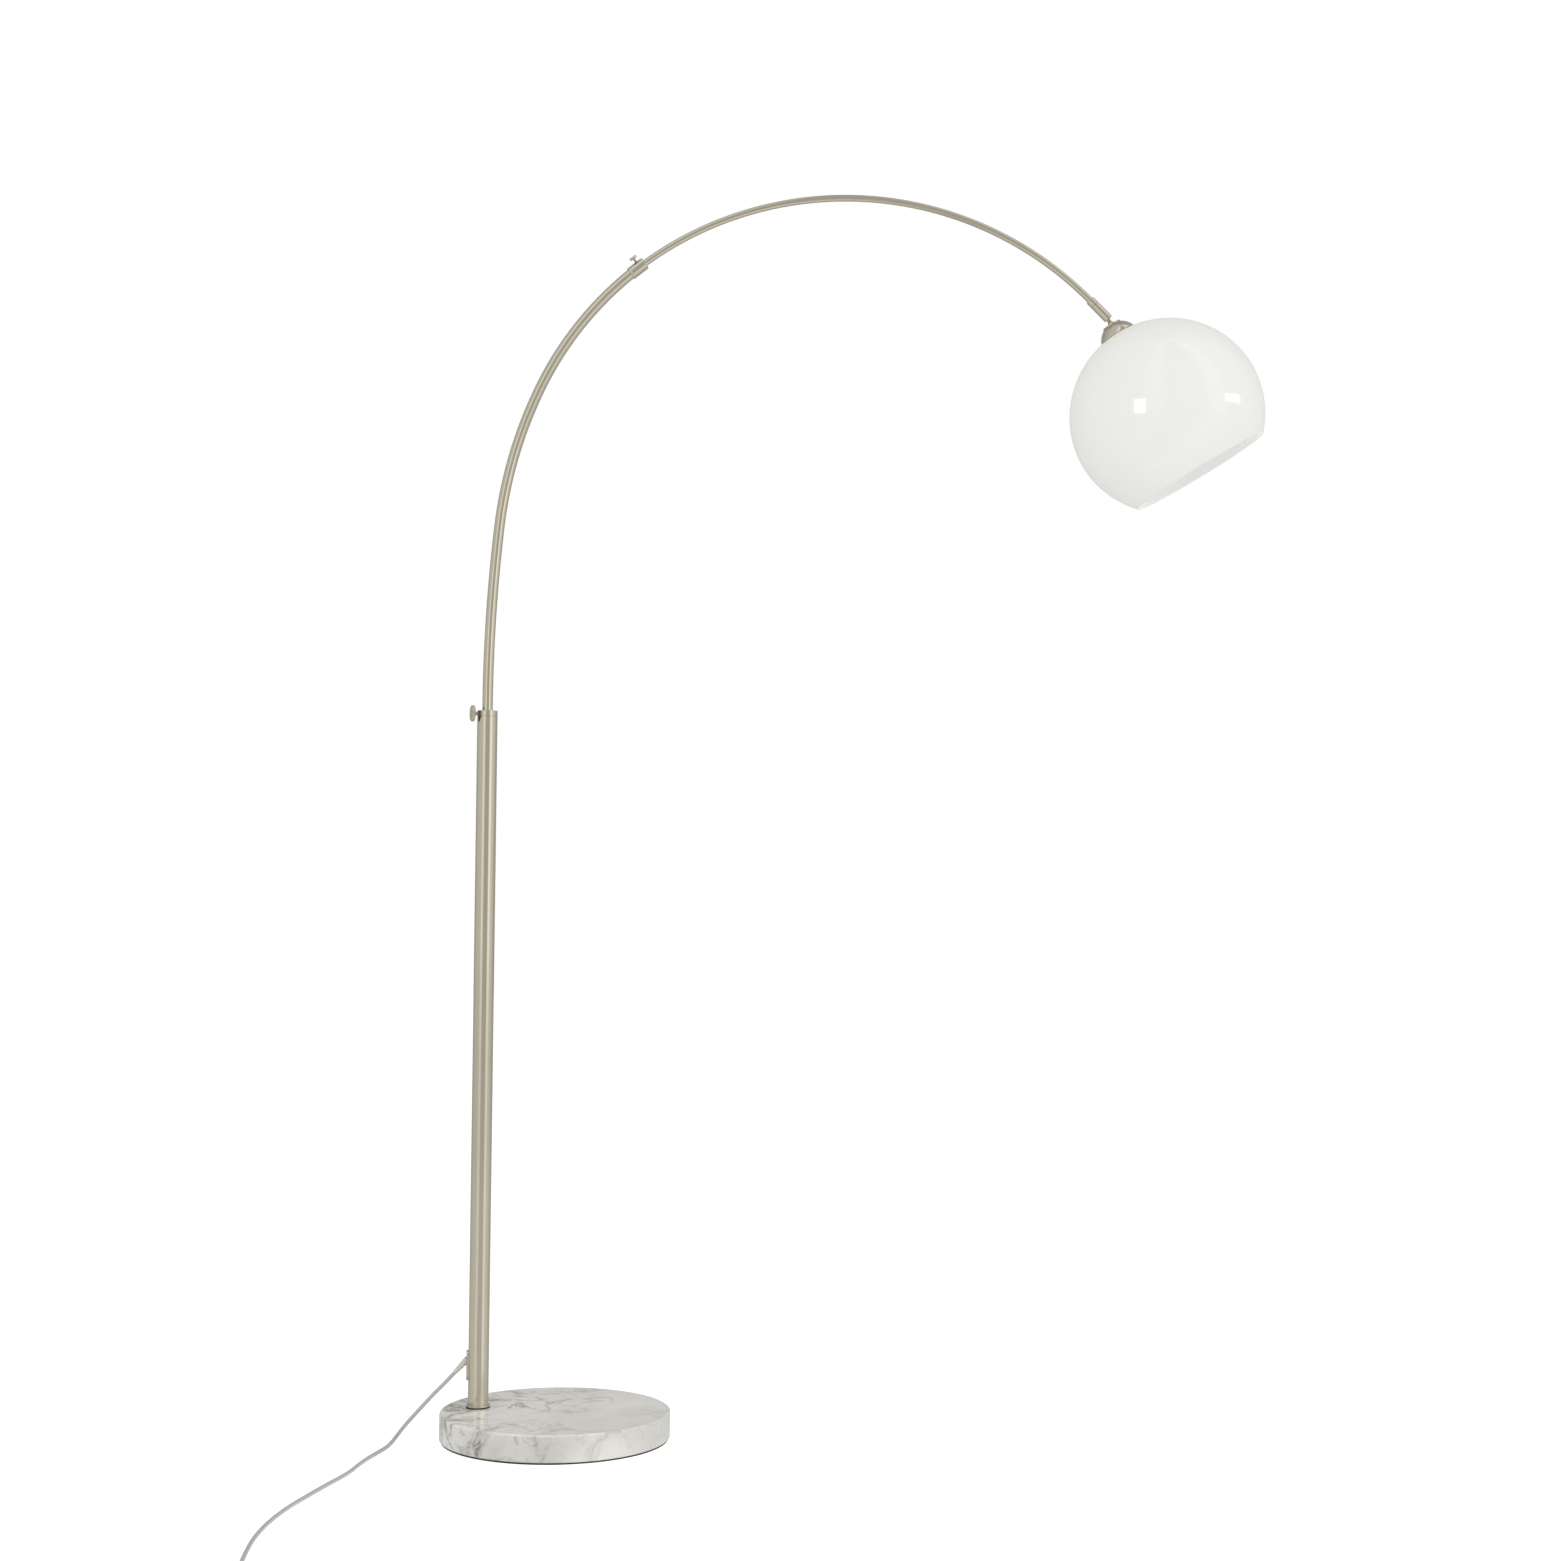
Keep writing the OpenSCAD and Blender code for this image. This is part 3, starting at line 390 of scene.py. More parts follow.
marble = marbleMaterial()
nickel = nickelMaterial("satinNickelUpright")
nickelArc = nickelMaterial("satinNickelArc", along=roundTheArc)
nickelShade = nickelMaterial("satinNickelShade", turn=(0, shadeTilt, 0))
steel = plainMaterial("zincSteel", (0.58, 0.57, 0.54), 0.3, grain=900.0, metal=1.0)
rubber = plainMaterial("blackRubber", (0.03, 0.029, 0.028), 0.75, grain=600.0, depth=0.2)
nylon = plainMaterial("naturalNylon", (0.74, 0.73, 0.68), 0.45)
brass = plainMaterial("turnedBrass", (0.72, 0.52, 0.24), 0.25, metal=1.0)
# the opal's emission is a painted glow: it stands in for room light passing through the acrylic, since the bulb is
# off
opal = plainMaterial("opalAcrylicPaintedGlow", (0.66, 0.668, 0.66), 0.07, grain=60.0, depth=0.006, shade=0.985,
                     Emission_Strength=0.275, Emission_Color=(1, 1, 0.99, 1))
leadSheath = plainMaterial("paleLeadSheath", (0.60, 0.60, 0.585), 0.34, grain=500.0, Coat_Weight=0.25)
holderWhite = plainMaterial("holderWhite", (0.78, 0.77, 0.73), 0.3)
switchGrey = plainMaterial("switchGrey", (0.62, 0.62, 0.60), 0.32, grain=1400.0, depth=0.12)
frost = plainMaterial("frostedGlass", (0.9, 0.89, 0.85), 0.35, grain=1200.0, depth=0.08)

finishOfSlot = {
    "marble": marble, "nickel": nickel, "steel": steel, "black_rubber": rubber, "nylon": nylon,
    "brass": brass, "opal": opal, "cord_pvc": leadSheath, "holder": holderWhite,
    "switch_plastic": switchGrey, "bulb_frost": frost,
}
arcNodes = ("lower_arc", "upper_arc", "arc_collar", "end_ferrule", "swivel_socket")
shadeNodes = ("tilt_stem", "cap_disc", "shade_cap")
slotOfNode = {part["node"]: part["material_slot"] for part in frame["record"]["subparts"]}
bodies = frame["record"]["behaviour"]["bodies"]
bodyOfNode = {node: body for body, nodes in bodies.items() for node in nodes}


def finishFor(node):
    if node in arcNodes:
        return nickelArc
    if node in shadeNodes:
        return nickelShade
    return finishOfSlot[slotOfNode[node]]


def paint(piece, material):
    piece.data.materials.clear()
    piece.data.materials.append(material)


def paintFrame():
    for part in frame["record"]["subparts"]:
        node = frame["nodes"][part["node"]]
        for index in range(len(node.material_slots)):
            node.material_slots[index].material = finishFor(part["node"])


paintFrame()
paint(mainsLead, leadSheath)
paint(plugLead, leadSheath)
print("frame painted")


def standAt(place, axis):
    return Matrix.Translation(place) @ axis.to_track_quat("Z", "Y").to_matrix().to_4x4()


mergeWithin = 0.000002  # points nearer than this are one point


def pick(piece):
    clearSelection()
    piece.select_set(True)
    bpy.context.view_layer.objects.active = piece


def mergeAndTurnOut():
    bpy.ops.mesh.select_all(action="SELECT")
    bpy.ops.mesh.remove_doubles(threshold=mergeWithin)
    bpy.ops.mesh.normals_make_consistent(inside=False)
    bpy.ops.object.mode_set(mode="OBJECT")


def applyModifiers(piece):
    pick(piece)
    for modifier in list(piece.modifiers):
        bpy.ops.object.modifier_apply(modifier=modifier.name)


# the helpers from here on take widths, radii and lengths in millimetres
def softenEdges(piece, width, segments=3):
    bevel = piece.modifiers.new("softEdges", "BEVEL")
    bevel.width = width / 1000
    bevel.segments = segments
    bevel.limit_method = "ANGLE"
    bevel.angle_limit = math.radians(32)  # gentler edges stay as they are
    applyModifiers(piece)


def drill(piece, place, axis, radius, length):
    clearSelection()
    bpy.ops.mesh.primitive_cylinder_add(vertices=48, radius=radius / 1000, depth=length / 1000)
    cutter = bpy.context.object
    cutter.matrix_world = standAt(place, axis) @ Matrix.Translation((0, 0, length / 2000))
    hole = piece.modifiers.new("hole", "BOOLEAN")
    hole.operation = "DIFFERENCE"
    hole.solver = "EXACT"
    hole.object = cutter
    applyModifiers(piece)
    bpy.data.objects.remove(cutter, do_unlink=True)


# long faces keep straight normals right up to their edges
def finishPiece(piece, node, smoothTo=35):
    pick(piece)
    bpy.ops.object.transform_apply(location=True, rotation=True, scale=True)
    bpy.ops.object.mode_set(mode="EDIT")
    mergeAndTurnOut()
    bpy.ops.object.shade_smooth_by_angle(angle=math.radians(smoothTo))
    even = piece.modifiers.new("evenNormals", "WEIGHTED_NORMAL")
    even.keep_sharp = True
    even.weight = 100
    applyModifiers(piece)
    paint(piece, finishFor(node))
    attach(piece, bodyOfNode[node])
    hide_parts(node)


# outline is a list of (radius, height) in millimetres, turned about the axis from its first ring on
def turnPiece(name, outline, place, axis=upright, sides=96, closed=True):
    clearSelection()
    radius, height = outline[0]
    bpy.ops.mesh.primitive_circle_add(vertices=sides, radius=radius / 1000, location=(0, 0, height / 1000),
                                      fill_type="NOTHING" if closed else "NGON")
    piece = bpy.context.object
    piece.name = name
    bpy.ops.object.transform_apply(location=True)
    bpy.ops.object.mode_set(mode="EDIT")
    bpy.ops.mesh.select_all(action="SELECT")
    rings = outline[1:] + (outline[:1] if closed else [])
    for nextRadius, nextHeight in rings:
        rise = (0, 0, (nextHeight - height) / 1000)
        bpy.ops.mesh.extrude_region_move(TRANSFORM_OT_translate={"value": rise})
        if nextRadius != radius:
            share = nextRadius / radius
            bpy.ops.transform.resize(value=(share, share, 1), center_override=(0, 0, nextHeight / 1000))
        radius, height = nextRadius, nextHeight
    mergeAndTurnOut()
    piece.matrix_world = standAt(place, axis)
    return piece


def atPole(height=0.0):
    return poleAxis + upright * height


baseSettings = {
    "edgeRounding": 2.5,
    "padRounding": 0.5,
    "recessRadius": 15.8,  # for the bolt's head, under the stone
    "recessDepth": 15,
    "boltHole": 5.5,
    "boltHoleDepth": 60,
    "sides": 320,
}


def addBase():
    b = baseSettings
    radius = widthOf("marble_base") / 2 * 1000
    low, high = bottomOf("marble_base") * 1000, topOf("marble_base") * 1000
    centre = Vector((0, 0, 0))
    stone = turnPiece("marbleSlab", [(radius, low), (radius, high)], centre, sides=b["sides"], closed=False)
    softenEdges(stone, b["edgeRounding"], 5)
    under = atPole(low / 1000 - 0.001)  # the cuts start a millimetre below the stone
    drill(stone, under, upright, b["boltHole"], b["boltHoleDepth"])
    drill(stone, under, upright, b["recessRadius"], b["recessDepth"] + 1)
    finishPiece(stone, "marble_base")
    padRadius = widthOf("base_pad") / 2 * 1000
    pad = turnPiece("basePad", [(padRadius, 0), (padRadius, low)], centre, sides=b["sides"], closed=False)
    softenEdges(pad, b["padRounding"], 2)
    finishPiece(pad, "base_pad")


poleSettings = {
    "bore": 12.0,
    "edge": 0.25,
    "sides": 128,
    "capBore": 9.5,
    "capSpigot": 30,
    "capGroove": 0.4, "capGrooveHeight": 0.6,
    "capEdge": 0.25,
    "footRingWidth": 1.8, "footRingEdge": 0.7,
    "fit": 0.05,  # room between pieces that slip over each other
    "screwHole": 2.55, "screwHoleDepth": 30,
    "screwBand": 3.4,  # half height of the cap's faces that the screw's hole cuts
}


def addPole():
    p = poleSettings
    outer, bore, sides = poleRadius * 1000, p["bore"], p["sides"]
    for name, node in (("lowerPoleTube", "lower_pole"), ("upperPoleTube", "upper_pole")):
        low, high = bottomOf(node) * 1000, topOf(node) * 1000
        section = [(bore, low), (outer, low), (outer, high), (bore, high)]
        tube = turnPiece(name, section, poleAxis, sides=sides)
        softenEdges(tube, p["edge"], 2)
        finishPiece(tube, node)
    top, shoulder, screw = topOf("pole_cap") * 1000, topOf("upper_pole") * 1000, poleScrewPlace.z * 1000
    spigot, spigotLow = bore - p["fit"], shoulder - p["capSpigot"]
    groove, grooveTop = outer - p["capGroove"], shoulder + p["capGrooveHeight"]
    cap = turnPiece("poleCap", [
        (p["capBore"], spigotLow), (spigot, spigotLow), (spigot, shoulder), (groove, shoulder),
        (groove, grooveTop), (outer, grooveTop), (outer, screw - p["screwBand"]),
        (outer, screw + p["screwBand"]), (outer, top), (p["capBore"], top)], poleAxis, sides=sides)
    softenEdges(cap, p["capEdge"], 3)
    drill(cap, poleScrewPlace, poleScrewAxis, p["screwHole"], p["screwHoleDepth"])
    finishPiece(cap, "pole_cap")
    low, high = bottomOf("foot_ring") * 1000, topOf("foot_ring") * 1000
    inner, ringOuter = outer + p["fit"], outer + p["footRingWidth"]
    ring = turnPiece("footRing", [(inner, low), (ringOuter, low), (ringOuter, high), (inner, high)],
                     poleAxis, sides=sides)
    softenEdges(ring, p["footRingEdge"], 4)
    finishPiece(ring, "foot_ring")


armSettings = {
    "tail": 300,
    "easeRadius": 2285, "easeTurn": 6,
    "bendRadius": 600, "bendEnd": 25,
    "lowerEnd": 51.096,  # direction of the arm where the lower tube ends, in the collar
    "upperStart": 43, "upperEnd": 137.135,
    "lowerRadius": 7, "lowerWall": 1.2,
    "upperRadius": 4.5, "upperWall": 1.0,
    "sides": 64,
}


def onArc(angle):
    turn = math.radians(angle)
    return arcCentre + Vector((-arcRadius * math.cos(turn), 0, arcRadius * math.sin(turn)))


def alongArm(angle):
    turn = math.radians(angle)
    return Vector((math.sin(turn), 0, math.cos(turn)))


def spinOn(centre, degrees, stepDegrees):
    steps = max(2, round(abs(degrees) / stepDegrees))
    bpy.ops.mesh.spin(steps=steps, angle=math.radians(degrees), center=centre, axis=(0, -1, 0))


def startTube(name, place, axis, radius):
    clearSelection()
    bpy.ops.mesh.primitive_circle_add(vertices=armSettings["sides"], radius=radius / 1000,
                                      fill_type="NOTHING")
    tube = bpy.context.object
    tube.name = name
    tube.matrix_world = standAt(place, axis)
    bpy.ops.object.transform_apply(location=True, rotation=True, scale=True)
    bpy.ops.object.mode_set(mode="EDIT")
    bpy.ops.mesh.select_all(action="SELECT")
    return tube


def finishTube(tube, thickness, node):
    mergeAndTurnOut()
    wall = tube.modifiers.new("wall", "SOLIDIFY")
    wall.thickness = thickness / 1000
    wall.offset = -1
    applyModifiers(tube)
    finishPiece(tube, node)


def addArm():
    a = armSettings
    tailTop = bottomOf("lower_arc") + a["tail"] / 1000
    lower = startTube("lowerArmTube", atPole(bottomOf("lower_arc")), upright, a["lowerRadius"])
    bpy.ops.mesh.extrude_region_move(TRANSFORM_OT_translate={"value": (0, 0, a["tail"] / 1000)})
    easeCentre = Vector((poleAxis.x + a["easeRadius"] / 1000, poleAxis.y, tailTop))
    spinOn(easeCentre, a["easeTurn"], 0.5)
    turn = math.radians(a["easeTurn"])
    back = (a["easeRadius"] - a["bendRadius"]) / 1000
    bendCentre = easeCentre + Vector((-back * math.cos(turn), 0, back * math.sin(turn)))
    spinOn(bendCentre, a["bendEnd"] - a["easeTurn"], 1)
    spinOn(arcCentre, a["lowerEnd"] - a["bendEnd"], 1)
    finishTube(lower, a["lowerWall"], "lower_arc")
    upper = startTube("upperArmTube", onArc(a["upperStart"]), alongArm(a["upperStart"]), a["upperRadius"])
    spinOn(arcCentre, a["upperEnd"] - a["upperStart"], 1)
    finishTube(upper, a["upperWall"], "upper_arc")


collarSettings = {
    "middleAngle": 51.42,  # direction of the arm at the collar's middle
    # radius and place along the arm, round its section from the lower mouth
    "section": [(7.15, -12.2), (8.0, -12.2), (8.5, -11.2), (8.5, -10.2), (8.35, -10.0), (8.35, -9.6),
                (8.5, -9.4), (8.5, 11.0), (8.0, 12.2), (6.05, 12.2), (6.05, 7.4), (4.95, 7.4),
                (4.95, -2.5), (7.15, -2.5)],
    "edge": 0.15,
    "screwHole": 1.75, "screwHoleDepth": 20,
}
sleeveSettings = {
    "startAngle": 135.64,
    "ferrule": [(4.6, 0), (6.3, 0), (6.3, 9.3), (5.45, 9.3), (5.45, 15.8), (4.6, 15.8)],
    "socket": [(5.55, 9.6), (6.3, 9.6), (6.3, 36), (5.36, 36), (5.36, 17.5), (5.55, 17.5)],
    "edge": 0.45,
}


def addFittings():
    c = collarSettings
    collar = turnPiece("armCollar", c["section"], onArc(c["middleAngle"]), alongArm(c["middleAngle"]))
    softenEdges(collar, c["edge"], 2)
    drill(collar, collarScrewPlace, collarScrewAxis, c["screwHole"], c["screwHoleDepth"])
    finishPiece(collar, "arc_collar")
    start = onArc(sleeveSettings["startAngle"])
    for name, outline, node in (("sleeveFerrule", "ferrule", "end_ferrule"),
                                ("sleeveSocket", "socket", "swivel_socket")):
        piece = turnPiece(name, sleeveSettings[outline], start, sleeveAxis)
        softenEdges(piece, sleeveSettings["edge"], 3)
        finishPiece(piece, node)


knobSettings = {
    "pole": {"radius": 11, "thickness": 4.5, "boss": 4.5, "bossHeight": 1.2, "flutes": 28,
             "head": 17.75, "screwStart": 11.15, "screwRadius": 2.5, "pitch": 0.8},
    "collar": {"radius": 5.2, "thickness": 3.5, "boss": 2.5, "bossHeight": 0.6, "flutes": 18,
               "head": 13.2, "screwStart": 5.7, "screwRadius": 1.5, "pitch": 0.5},
    "flutePinch": 0.965,  # radius at the bottom of a flute, as a share of the head's
    "rounding": 0.22,  # of the head's edges, as a share of its thickness
    "dish": 0.45,
    "edge": 0.12,
    "threadDepth": 0.25,
}


def pinchFlutes(head, share, reach, flutes):
    pick(head)
    bpy.ops.object.mode_set(mode="EDIT")
    bpy.ops.mesh.select_mode(type="VERT")
    bpy.ops.mesh.select_all(action="DESELECT")
    bpy.ops.object.mode_set(mode="OBJECT")
    for vertex in head.data.vertices:
        flute = math.cos(flutes * math.atan2(vertex.co.y, vertex.co.x))
        vertex.select = math.hypot(vertex.co.x, vertex.co.y) > reach / 1000 and flute < -0.7
    bpy.ops.object.mode_set(mode="EDIT")
    bpy.ops.transform.resize(value=(share, share, 1), orient_type="LOCAL",
                             center_override=head.matrix_world.translation)
    bpy.ops.object.mode_set(mode="OBJECT")


def addThumbScrew(which, axisPlace, axis):
    k = knobSettings[which]
    radius, thickness, boss = k["radius"], k["thickness"], k["boss"]
    rounding, dished = thickness * knobSettings["rounding"], thickness - knobSettings["dish"]
    head = turnPiece(which + "ThumbHead", [
        (boss, -k["bossHeight"]), (boss, 0), (radius - rounding, 0), (radius, rounding),
        (radius, thickness - rounding), (radius - rounding, thickness), (radius * 0.64, thickness),
        (radius * 0.6, dished), (radius * 0.1, dished)],
        axisPlace + axis * (k["head"] / 1000), axis, sides=k["flutes"] * 6, closed=False)
    pinchFlutes(head, knobSettings["flutePinch"], radius - rounding * 0.5, k["flutes"])
    softenEdges(head, knobSettings["edge"], 2)
    finishPiece(head, which + "_knob", smoothTo=40)
    turns, pitch, outer = [], k["pitch"], k["screwRadius"]
    root = outer - knobSettings["threadDepth"]
    height, end = k["screwStart"], k["head"] - k["bossHeight"]
    while height < end - pitch:
        turns += [(root, height), (outer, height + pitch * 0.3), (outer, height + pitch * 0.6)]
        height += pitch
    stem = turnPiece(which + "ScrewStem", turns + [(root, height), (root, end)],
                     axisPlace, axis, sides=32, closed=False)
    finishPiece(stem, which + "_screw", smoothTo=25)


# outlines of the shade's pieces are given as (radius, distance down from the tilt pin)
def fromPin(outline):
    return [(radius, -down) for radius, down in outline]


capSettings = {
    "disc": [(4.05, 13.5), (13, 13.5), (13, 11.5), (4.05, 11.5)],
    "discEdge": 0.65,
    "hole": 4.05,
    "domeTop": (13, 13.5),
    "domeRim": (25.2, 28),
    "domeEdge": 0.25,
    "wall": 1.0,
    "steps": 14,
}


# the dome is part of a sphere through its top's edge and its rim
def domeOutline():
    topRadius, top = capSettings["domeTop"]
    rimRadius, rim = capSettings["domeRim"]
    hole, wall, steps = capSettings["hole"], capSettings["wall"], capSettings["steps"]
    height = rim - top
    below = (rimRadius ** 2 - topRadius ** 2 - height ** 2) / (2 * height)
    radius, centre = math.hypot(rimRadius, below), rim + below
    first, last = math.asin(topRadius / radius), math.acos(below / radius)
    angles = [first + (last - first) * step / steps for step in range(steps + 1)]
    inner = radius - wall
    inside = [(inner * math.sin(a), centre - inner * math.cos(a)) for a in angles]
    outside = [(radius * math.sin(a), centre - radius * math.cos(a)) for a in reversed(angles)]
    inside[-1] = (rimRadius - wall, rim)
    return [(hole, top + wall), *inside, *outside, (hole, top)]


def addCap():
    disc = turnPiece("capDisc", fromPin(capSettings["disc"]), tiltPin, shadeUp)
    softenEdges(disc, capSettings["discEdge"], 4)
    finishPiece(disc, "cap_disc")
    dome = turnPiece("capDome", fromPin(domeOutline()), tiltPin, shadeUp, sides=128)
    softenEdges(dome, capSettings["domeEdge"], 2)
    finishPiece(dome, "shade_cap")


globeSettings = {
    "centre": 157.55,  # down the shade's axis from the tilt pin
    "radius": 131,
    "wall": 2.2,
    "openingDrop": 88.8,
    "neckRadius": 21,
    "rimRounding": 1.0,
    "segments": 192, "rings": 120,
}


def addGlobe():
    g = globeSettings
    centre = tiltPin - shadeUp * (g["centre"] / 1000)
    clearSelection()
    bpy.ops.mesh.primitive_uv_sphere_add(segments=g["segments"], ring_count=g["rings"],
                                         radius=g["radius"] / 1000)
    globe = bpy.context.object
    globe.name = "opalGlobe"
    globe.matrix_world = standAt(centre, shadeUp)
    bpy.ops.object.transform_apply(location=True, rotation=True)
    neckHeight = math.sqrt(g["radius"] ** 2 - g["neckRadius"] ** 2)
    for height, way in ((-g["openingDrop"], -1), (neckHeight, 1)):
        bpy.ops.object.mode_set(mode="EDIT")
        bpy.ops.mesh.select_all(action="SELECT")
        bpy.ops.mesh.bisect(plane_co=centre + shadeUp * (height / 1000), plane_no=shadeUp * way,
                            clear_outer=True, use_fill=False)
        bpy.ops.object.mode_set(mode="OBJECT")
    wall = globe.modifiers.new("wall", "SOLIDIFY")
    wall.thickness = g["wall"] / 1000
    wall.offset = -1
    applyModifiers(globe)
    softenEdges(globe, g["rimRounding"], 4)
    finishPiece(globe, "globe_shade")


holderSettings = {
    "skirt": 19.9,
    "skirtStart": 27.9, "skirtEnd": 69,
    "bore": 14.2,
    "threadStart": 36, "threadPitch": 2.6, "threadTurns": 11, "threadDepth": 0.55,
}


def addHolder():
    h = holderSettings
    rim = [(h["skirt"], h["skirtStart"])]
    root = h["skirt"] - h["threadDepth"]
    for turn in range(h["threadTurns"]):
        down = h["threadStart"] + turn * h["threadPitch"]
        rim += [(h["skirt"], down), (root, down + 0.8), (root, down + 1.4), (h["skirt"], down + 2.0)]
    rim += [(h["skirt"], h["skirtEnd"]), (h["bore"], h["skirtEnd"]), (h["bore"], h["skirtStart"])]
    skirt = turnPiece("holderSkirt", fromPin(rim), tiltPin, shadeUp)
    finishPiece(skirt, "holder_body", smoothTo=25)


bulbSettings = {
    "radius": 30,
    "middle": 117,  # down the shade's axis from the tilt pin
    "neck": 13.4, "neckStart": 67,
    "shoulderAngle": 132,  # where the bulb's sphere turns into the neck, from its far end
    "sphereSteps": 24, "neckSteps": 8,
}


def addBulb():
    b = bulbSettings
    outline = []
    for step in range(b["sphereSteps"] + 1):
        angle = math.radians(2 + (b["shoulderAngle"] - 2) * step / b["sphereSteps"])
        outline.append((b["radius"] * math.sin(angle), b["middle"] + b["radius"] * math.cos(angle)))
    shoulderRadius, shoulderDown = outline[-1]
    for step in range(1, b["neckSteps"] + 1):
        part = step / b["neckSteps"]
        outline.append((shoulderRadius + (b["neck"] - shoulderRadius) * math.sin(part * math.pi / 2),
                        shoulderDown + (b["neckStart"] - shoulderDown) * part))
    glass = turnPiece("bulbGlass", fromPin(outline), tiltPin, shadeUp, sides=96, closed=False)
    finishPiece(glass, "bulb_glass", smoothTo=60)


addBase()
addPole()
addArm()
addFittings()
print("base, pole and arm made")
addThumbScrew("pole", atPole(poleScrewPlace.z), poleScrewAxis)
addThumbScrew("collar", collarScrewPlace, collarScrewAxis)
print("thumb screws made")
addCap()
addGlobe()
addHolder()
addBulb()
print("shade made")


studioSettings = {
    # direction round the lamp in degrees (0 towards the viewer, + to the right), brightness
    "walls": ((-180, 0.42), (-125, 0.5), (-95, 0.72), (-42, 0.76), (-34, 1.12), (-18, 1.12), (-11, 0.6),
              (0, 0.55), (34, 0.55), (42, 1.35), (58, 1.35), (66, 0.92), (95, 0.8), (125, 0.5), (180, 0.42)),
    "tint": (1.0, 0.985, 0.955),
    # name: (place, target, width, height, power)
    "panels": {
        "overheadPanel": ((0.3, -1.2, 3.6), (0.3, 0, 0), 3.5, 3.0, 44),
        "leftWindow": ((-1.16, -2.25, 1.42), (0.81, 0, 1.36), 0.7, 0.85, 9),
        "rightWindow": ((3.65, -0.96, 2.0), (0.81, 0, 1.36), 1.2, 0.4, 5),
    },
    # what each panel lights; the walls light everything
    "lit": {
        "overheadPanel": ("marbleSlab", "paleFloor"),
        "leftWindow": ("opalGlobe",),
        "rightWindow": ("opalGlobe",),
    },
}


def wallRamp(tree, share=1.0):
    walls = tree.nodes.new("ShaderNodeValToRGB")
    elements = walls.color_ramp.elements
    while len(elements) < len(studioSettings["walls"]):
        elements.new(0.5)
    for element, (degrees, brightness) in zip(elements, studioSettings["walls"]):
        element.position = (degrees + 180) / 360
        element.color = (*(c * brightness * share for c in studioSettings["tint"]), 1)
    return walls


def lightStudio():
    world = bpy.data.worlds.new("studio")
    bpy.context.scene.world = world
    world.use_nodes = True
    tree = world.node_tree
    tree.nodes.clear()
    coords = tree.nodes.new("ShaderNodeTexCoord")
    apart = tree.nodes.new("ShaderNodeSeparateXYZ")
    tree.links.new(coords.outputs["Generated"], apart.inputs[0])
    flip = tree.nodes.new("ShaderNodeMath")
    flip.operation = "MULTIPLY"
    flip.inputs[1].default_value = -1
    tree.links.new(apart.outputs["Y"], flip.inputs[0])
    angle = tree.nodes.new("ShaderNodeMath")
    angle.operation = "ARCTAN2"
    tree.links.new(apart.outputs["X"], angle.inputs[0])
    tree.links.new(flip.outputs[0], angle.inputs[1])
    turnPart = tree.nodes.new("ShaderNodeMapRange")
    turnPart.inputs["From Min"].default_value = -math.pi
    turnPart.inputs["From Max"].default_value = math.pi
    tree.links.new(angle.outputs[0], turnPart.inputs["Value"])
    walls = wallRamp(tree)
    tree.links.new(turnPart.outputs[0], walls.inputs[0])
    glow = tree.nodes.new("ShaderNodeBackground")
    tree.links.new(walls.outputs[0], glow.inputs["Color"])
    paper = tree.nodes.new("ShaderNodeBackground")
    paper.inputs["Color"].default_value = (1, 1, 1, 1)
    seen = tree.nodes.new("ShaderNodeLightPath")
    mix = tree.nodes.new("ShaderNodeMixShader")
    tree.links.new(seen.outputs["Is Camera Ray"], mix.inputs[0])
    tree.links.new(glow.outputs[0], mix.inputs[1])
    tree.links.new(paper.outputs[0], mix.inputs[2])
    out = tree.nodes.new("ShaderNodeOutputWorld")
    tree.links.new(mix.outputs[0], out.inputs["Surface"])


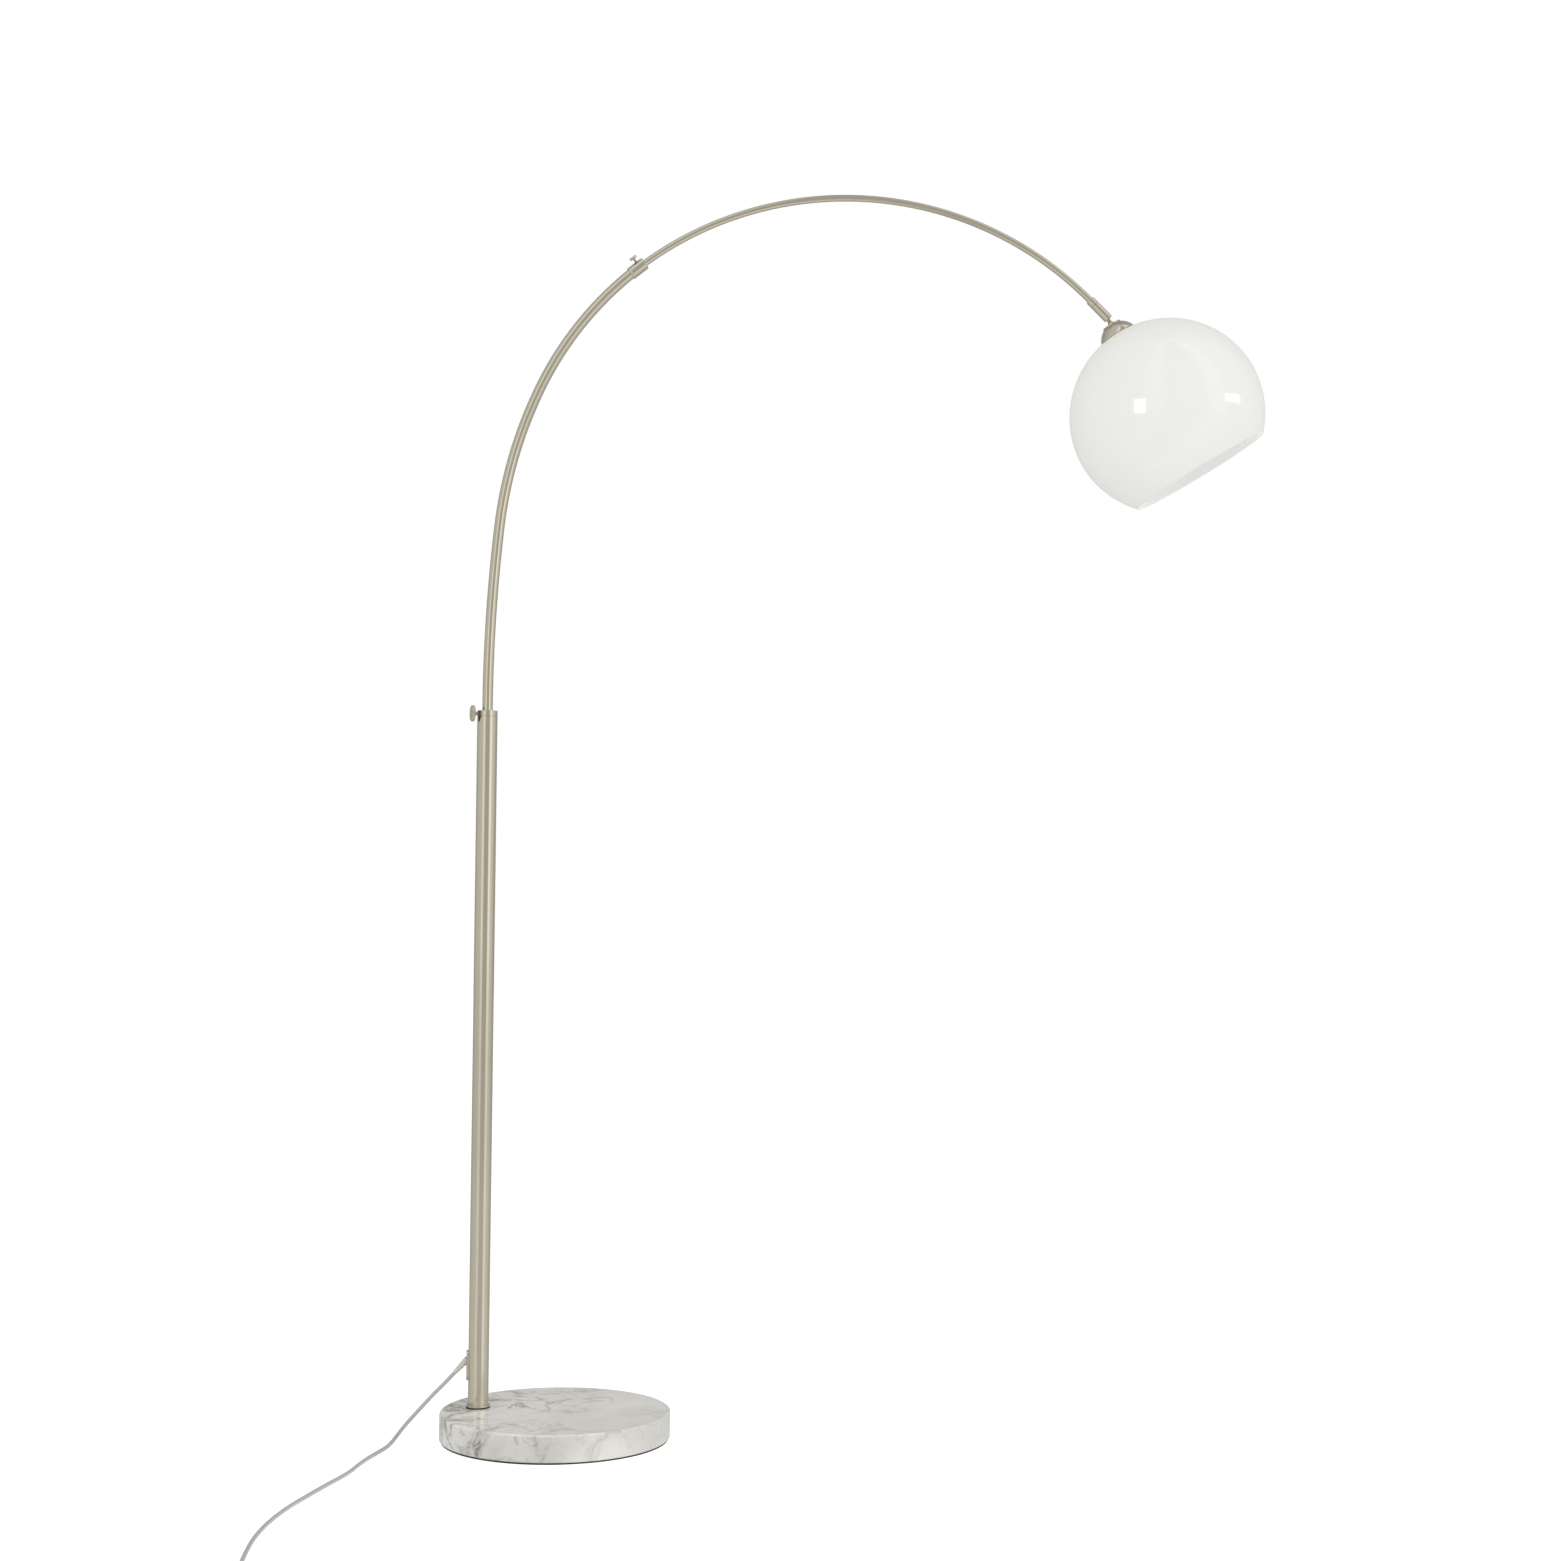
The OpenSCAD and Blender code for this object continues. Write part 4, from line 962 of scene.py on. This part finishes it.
floorSettings = {
    "size": 40,
    "roughness": 0.9,
    "ground": 0.3,
    "glow": 0.86,  # brightness seen straight on
    "share": 0.66,  # brightness that the lamp receives from it, against the walls
}


# the lamp mirrors the floor as a continuation of the walls, so the bands run down to the pole's foot
def addFloor():
    clearSelection()
    bpy.ops.mesh.primitive_plane_add(size=floorSettings["size"], location=(0, 0, 0))
    floor = bpy.context.object
    floor.name = "paleFloor"
    ground = newMaterial("paleFloor", Roughness=floorSettings["roughness"],
                         Emission_Strength=floorSettings["glow"])
    grain = noise(ground, objectPlace(ground), 3.0)
    low = floorSettings["ground"]
    intoShader(ground, "Base Color", mixColour(ground, grain, (low,) * 3, (low * 1.05,) * 3))
    coords = addNode(ground, "ShaderNodeTexCoord")
    apart = addNode(ground, "ShaderNodeSeparateXYZ", {"Vector": coords.outputs["Object"]})
    overX = worked(ground, "SUBTRACT", apart.outputs["X"], poleAxis.x)
    overY = worked(ground, "SUBTRACT", poleAxis.y, apart.outputs["Y"])
    turned = worked(ground, "ARCTAN2", overX, overY)
    part = worked(ground, "MULTIPLY_ADD", turned, 0.5 / math.pi, 0.5)
    bands = wallRamp(ground.node_tree, floorSettings["share"])
    ground.node_tree.links.new(part, bands.inputs[0])
    seen = addNode(ground, "ShaderNodeLightPath")
    colour = mixColour(ground, seen.outputs["Is Camera Ray"], bands.outputs[0], (1, 1, 1))
    intoShader(ground, "Emission Color", colour)
    paint(floor, ground)


def addPanel(name, place, target, width, height, power):
    clearSelection()
    bpy.ops.object.light_add(type="AREA", location=place)
    light = bpy.context.object
    light.name = name
    light.rotation_euler = (Vector(target) - Vector(place)).to_track_quat("-Z", "Y").to_euler()
    light.data.shape = "RECTANGLE"
    light.data.size = width
    light.data.size_y = height
    light.data.energy = power
    lit = bpy.data.collections.new(name + "Lit")
    for piece in studioSettings["lit"][name]:
        lit.objects.link(bpy.data.objects[piece])
    light.light_linking.receiver_collection = lit


addFloor()
lightStudio()
for name, panel in studioSettings["panels"].items():
    addPanel(name, *panel)
bpy.context.scene.view_settings.view_transform = "Standard"
print("studio lit")
